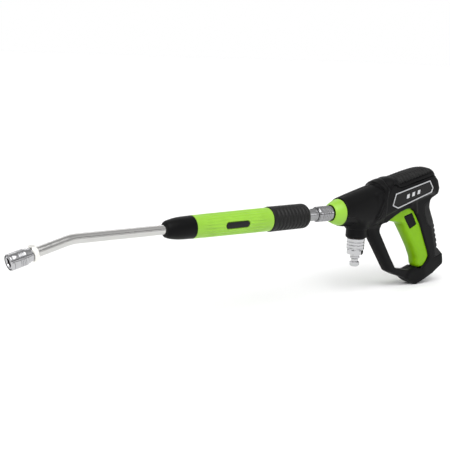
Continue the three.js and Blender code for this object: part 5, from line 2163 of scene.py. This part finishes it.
# ---- Studio ----------------------------------------------------------------------------------------------
@dataclass
class Studio:
    """The pale floor, the soft lights and the camera."""

    azimuth: float = -37.46
    elevation: float = 10.4
    roll: float = -2.07
    lens: float = 75.41
    eye: tuple[float, float, float] = (-1042.6, -1065.9, 244.4)
    ceiling_power: float = 2.3
    ceiling_spread: float = 60

    def build_floor(self) -> None:
        """Lays the floor under the handle's foot."""
        low, _ = CAD_BOX
        size, level = 40.0, low.z - 0.0005
        mesh = bpy.data.meshes.new("studio_floor")
        corners = [(-size, -size, level), (size, -size, level), (size, size, level), (-size, size, level)]
        mesh.from_pydata(corners, [], [(0, 1, 2, 3)])
        floor = bpy.data.objects.new("studio_floor", mesh)
        bpy.context.scene.collection.objects.link(floor)
        material = bpy.data.materials.new("painted_pale_floor")
        material.use_nodes = True
        tree = material.node_tree
        shader = tree.nodes["Principled BSDF"]
        shader.inputs["Base Color"].default_value = linear("#f7f7f7")
        shader.inputs["Roughness"].default_value = 0.9
        shader.inputs["Specular IOR Level"].default_value = 0.1
        mesh.materials.append(material)

    def build_world(self) -> None:
        """Makes the room that the metal mirrors: grey at eye level, with bright and dark bands above."""
        world = bpy.data.worlds.new("studio_room")
        bpy.context.scene.world = world
        world.use_nodes = True
        tree = world.node_tree
        tree.nodes.clear()
        way = add(tree, "ShaderNodeTexCoord").outputs["Generated"]
        parts = add(tree, "ShaderNodeSeparateXYZ", {0: way})
        height = add(tree, "ShaderNodeValToRGB", {0: parts.outputs["Z"]})
        stops = height.color_ramp.elements
        stops[0].position, stops[0].color = 0.0, (0.35, 0.35, 0.35, 1)
        stops[1].position, stops[1].color = 1.0, (0.7, 0.7, 0.7, 1)
        # how high up each stop is, from eye level (0) to overhead (1), and how bright
        bands = ((0.05, 0.03), (0.11, 0.04), (0.15, 2.4), (0.29, 2.4), (0.33, 0.05), (0.46, 0.05),
                 (0.51, 1.3), (0.8, 1.2))
        for at, shade in bands:
            stop = stops.new(at)
            stop.color = (shade, shade, shade, 1)
        room = add(tree, "ShaderNodeBackground", {"Color": height.outputs[0]}, {"Strength": 0.55})
        plain = add(tree, "ShaderNodeBackground", None, {"Color": (1, 1, 1, 1), "Strength": 1.0})
        seen = add(tree, "ShaderNodeLightPath").outputs["Is Camera Ray"]
        both = add(
            tree, "ShaderNodeMixShader", {0: seen, 1: room.outputs[0], 2: plain.outputs[0]}
        )
        add(tree, "ShaderNodeOutputWorld", {"Surface": both.outputs[0]})

    def build_light(
        self, name: str, place: tuple[float, float, float], size: tuple[float, float], power: float
    ) -> None:
        """Hangs a soft box that faces the middle of the object.

        Args:
            name: its name.
            place: where it hangs, in metres from the object's middle.
            size: its width and height in metres.
            power: its power in watts.
        """
        data = bpy.data.lights.new(name, "AREA")
        data.shape = "RECTANGLE"
        data.size, data.size_y = size
        data.energy = power
        lamp = bpy.data.objects.new(name, data)
        bpy.context.scene.collection.objects.link(lamp)
        lamp.location = place
        lamp.rotation_mode = "QUATERNION"
        lamp.rotation_quaternion = (-Vector(place)).to_track_quat("-Z", "Y")

    def build_sky_panel(self) -> None:
        """Lights the whole floor evenly, as a ceiling of soft lamps does."""
        data = bpy.data.lights.new("ceiling_panel", "SUN")
        data.energy = self.ceiling_power
        data.angle = math.radians(self.ceiling_spread)
        lamp = bpy.data.objects.new("ceiling_panel", data)
        bpy.context.scene.collection.objects.link(lamp)
        lamp.rotation_mode = "QUATERNION"
        lamp.rotation_quaternion = Vector((0.45, 0.5, -1.0)).to_track_quat("-Z", "Y")

    def build_camera(self) -> None:
        """Stands the camera at the chosen angle."""
        a, e, r = (math.radians(v) for v in (self.azimuth, self.elevation, self.roll))
        back = Vector((math.sin(a) * math.cos(e), -math.cos(a) * math.cos(e), math.sin(e)))
        right = Vector((math.cos(a), math.sin(a), 0))
        up = back.cross(right)
        across = math.cos(r) * right - math.sin(r) * up
        upward = math.sin(r) * right + math.cos(r) * up
        data = bpy.data.cameras.new("studio_camera")
        data.lens, data.sensor_width = self.lens, 36.0
        data.clip_start, data.clip_end = 0.05, 200.0
        camera = bpy.data.objects.new("studio_camera", data)
        bpy.context.scene.collection.objects.link(camera)
        turn = Matrix((across, upward, back)).transposed().to_4x4()
        camera.matrix_world = Matrix.Translation(Vector(self.eye) * MM + ORIGIN) @ turn
        bpy.context.scene.camera = camera

    def build(self) -> None:
        """Sets up the whole studio."""
        self.build_floor()
        self.build_world()
        self.build_sky_panel()
        self.build_light("key_softbox", (-0.9, -1.3, 1.7), (1.4, 0.9), 4.0)
        self.build_light("fill_softbox", (1.6, -1.4, 0.7), (0.5, 1.2), 1.6)
        self.build_light("rim_softbox", (0.5, 1.6, 1.4), (1.6, 0.5), 4.0)
        self.build_camera()
        bpy.context.scene.view_settings.view_transform = "Standard"


def main() -> None:
    """Builds the gun and its studio, piece by piece."""
    logging.basicConfig(level=logging.INFO, format="%(message)s")
    finishes = Finishes()
    outlet = Coupler(
        finishes,
        "outlet",
        BARREL,
        mouth=-48,
        bore=7.2,
        body=9.7,
        sleeve=12.25,
        sleeve_length=28,
        ball=1.6,
        ball_run=-40,
        ball_radius=8.35,
        spring_from=-34.3,
        spring_to=-24.4,
        tail=((5, 10.7, 0.3), (5, 8.5), (24, 8.5, 0.5), (24, 4.5)),
        grooves=(6.5, 10.2, 13.9, 17.6, 21.3),
        groove_wide=1.7,
        waist=0,
        rides=Body.GUN,
        sleeve_rides=Body.OUTLET_SLEEVE,
        metal=finishes.chrome_painted_dark,
    )
    tip = Coupler(
        finishes,
        "tip",
        TIP,
        mouth=-90.8,
        bore=6.2,
        body=8.6,
        sleeve=11,
        sleeve_length=27,
        ball=1.5,
        ball_run=-82.8,
        ball_radius=7.3,
        spring_from=-77.3,
        spring_to=-67.5,
        tail=((-58.8, 9, 0.3), (-58.8, 6.5), (-55.9, 6.5, 0.3), (-55.9, 4.5)),
        grooves=(4.2, 13, 15.2, 17.4, 19.6),
        groove_wide=1.3,
        waist=2.6,
        rides=Body.LANCE,
        sleeve_rides=Body.TIP_SLEEVE,
        metal=finishes.chrome_tip,
    )
    for part in (GunBody(finishes), Trigger(finishes), outlet, tip, HoseInlet(finishes), Lance(finishes)):
        LOG.info("building %s", type(part).__name__)
        part.build()
    inner = InnerParts(finishes)
    inner.build()
    inner.dress()
    Studio().build()


if __name__ == "__main__":
    main()
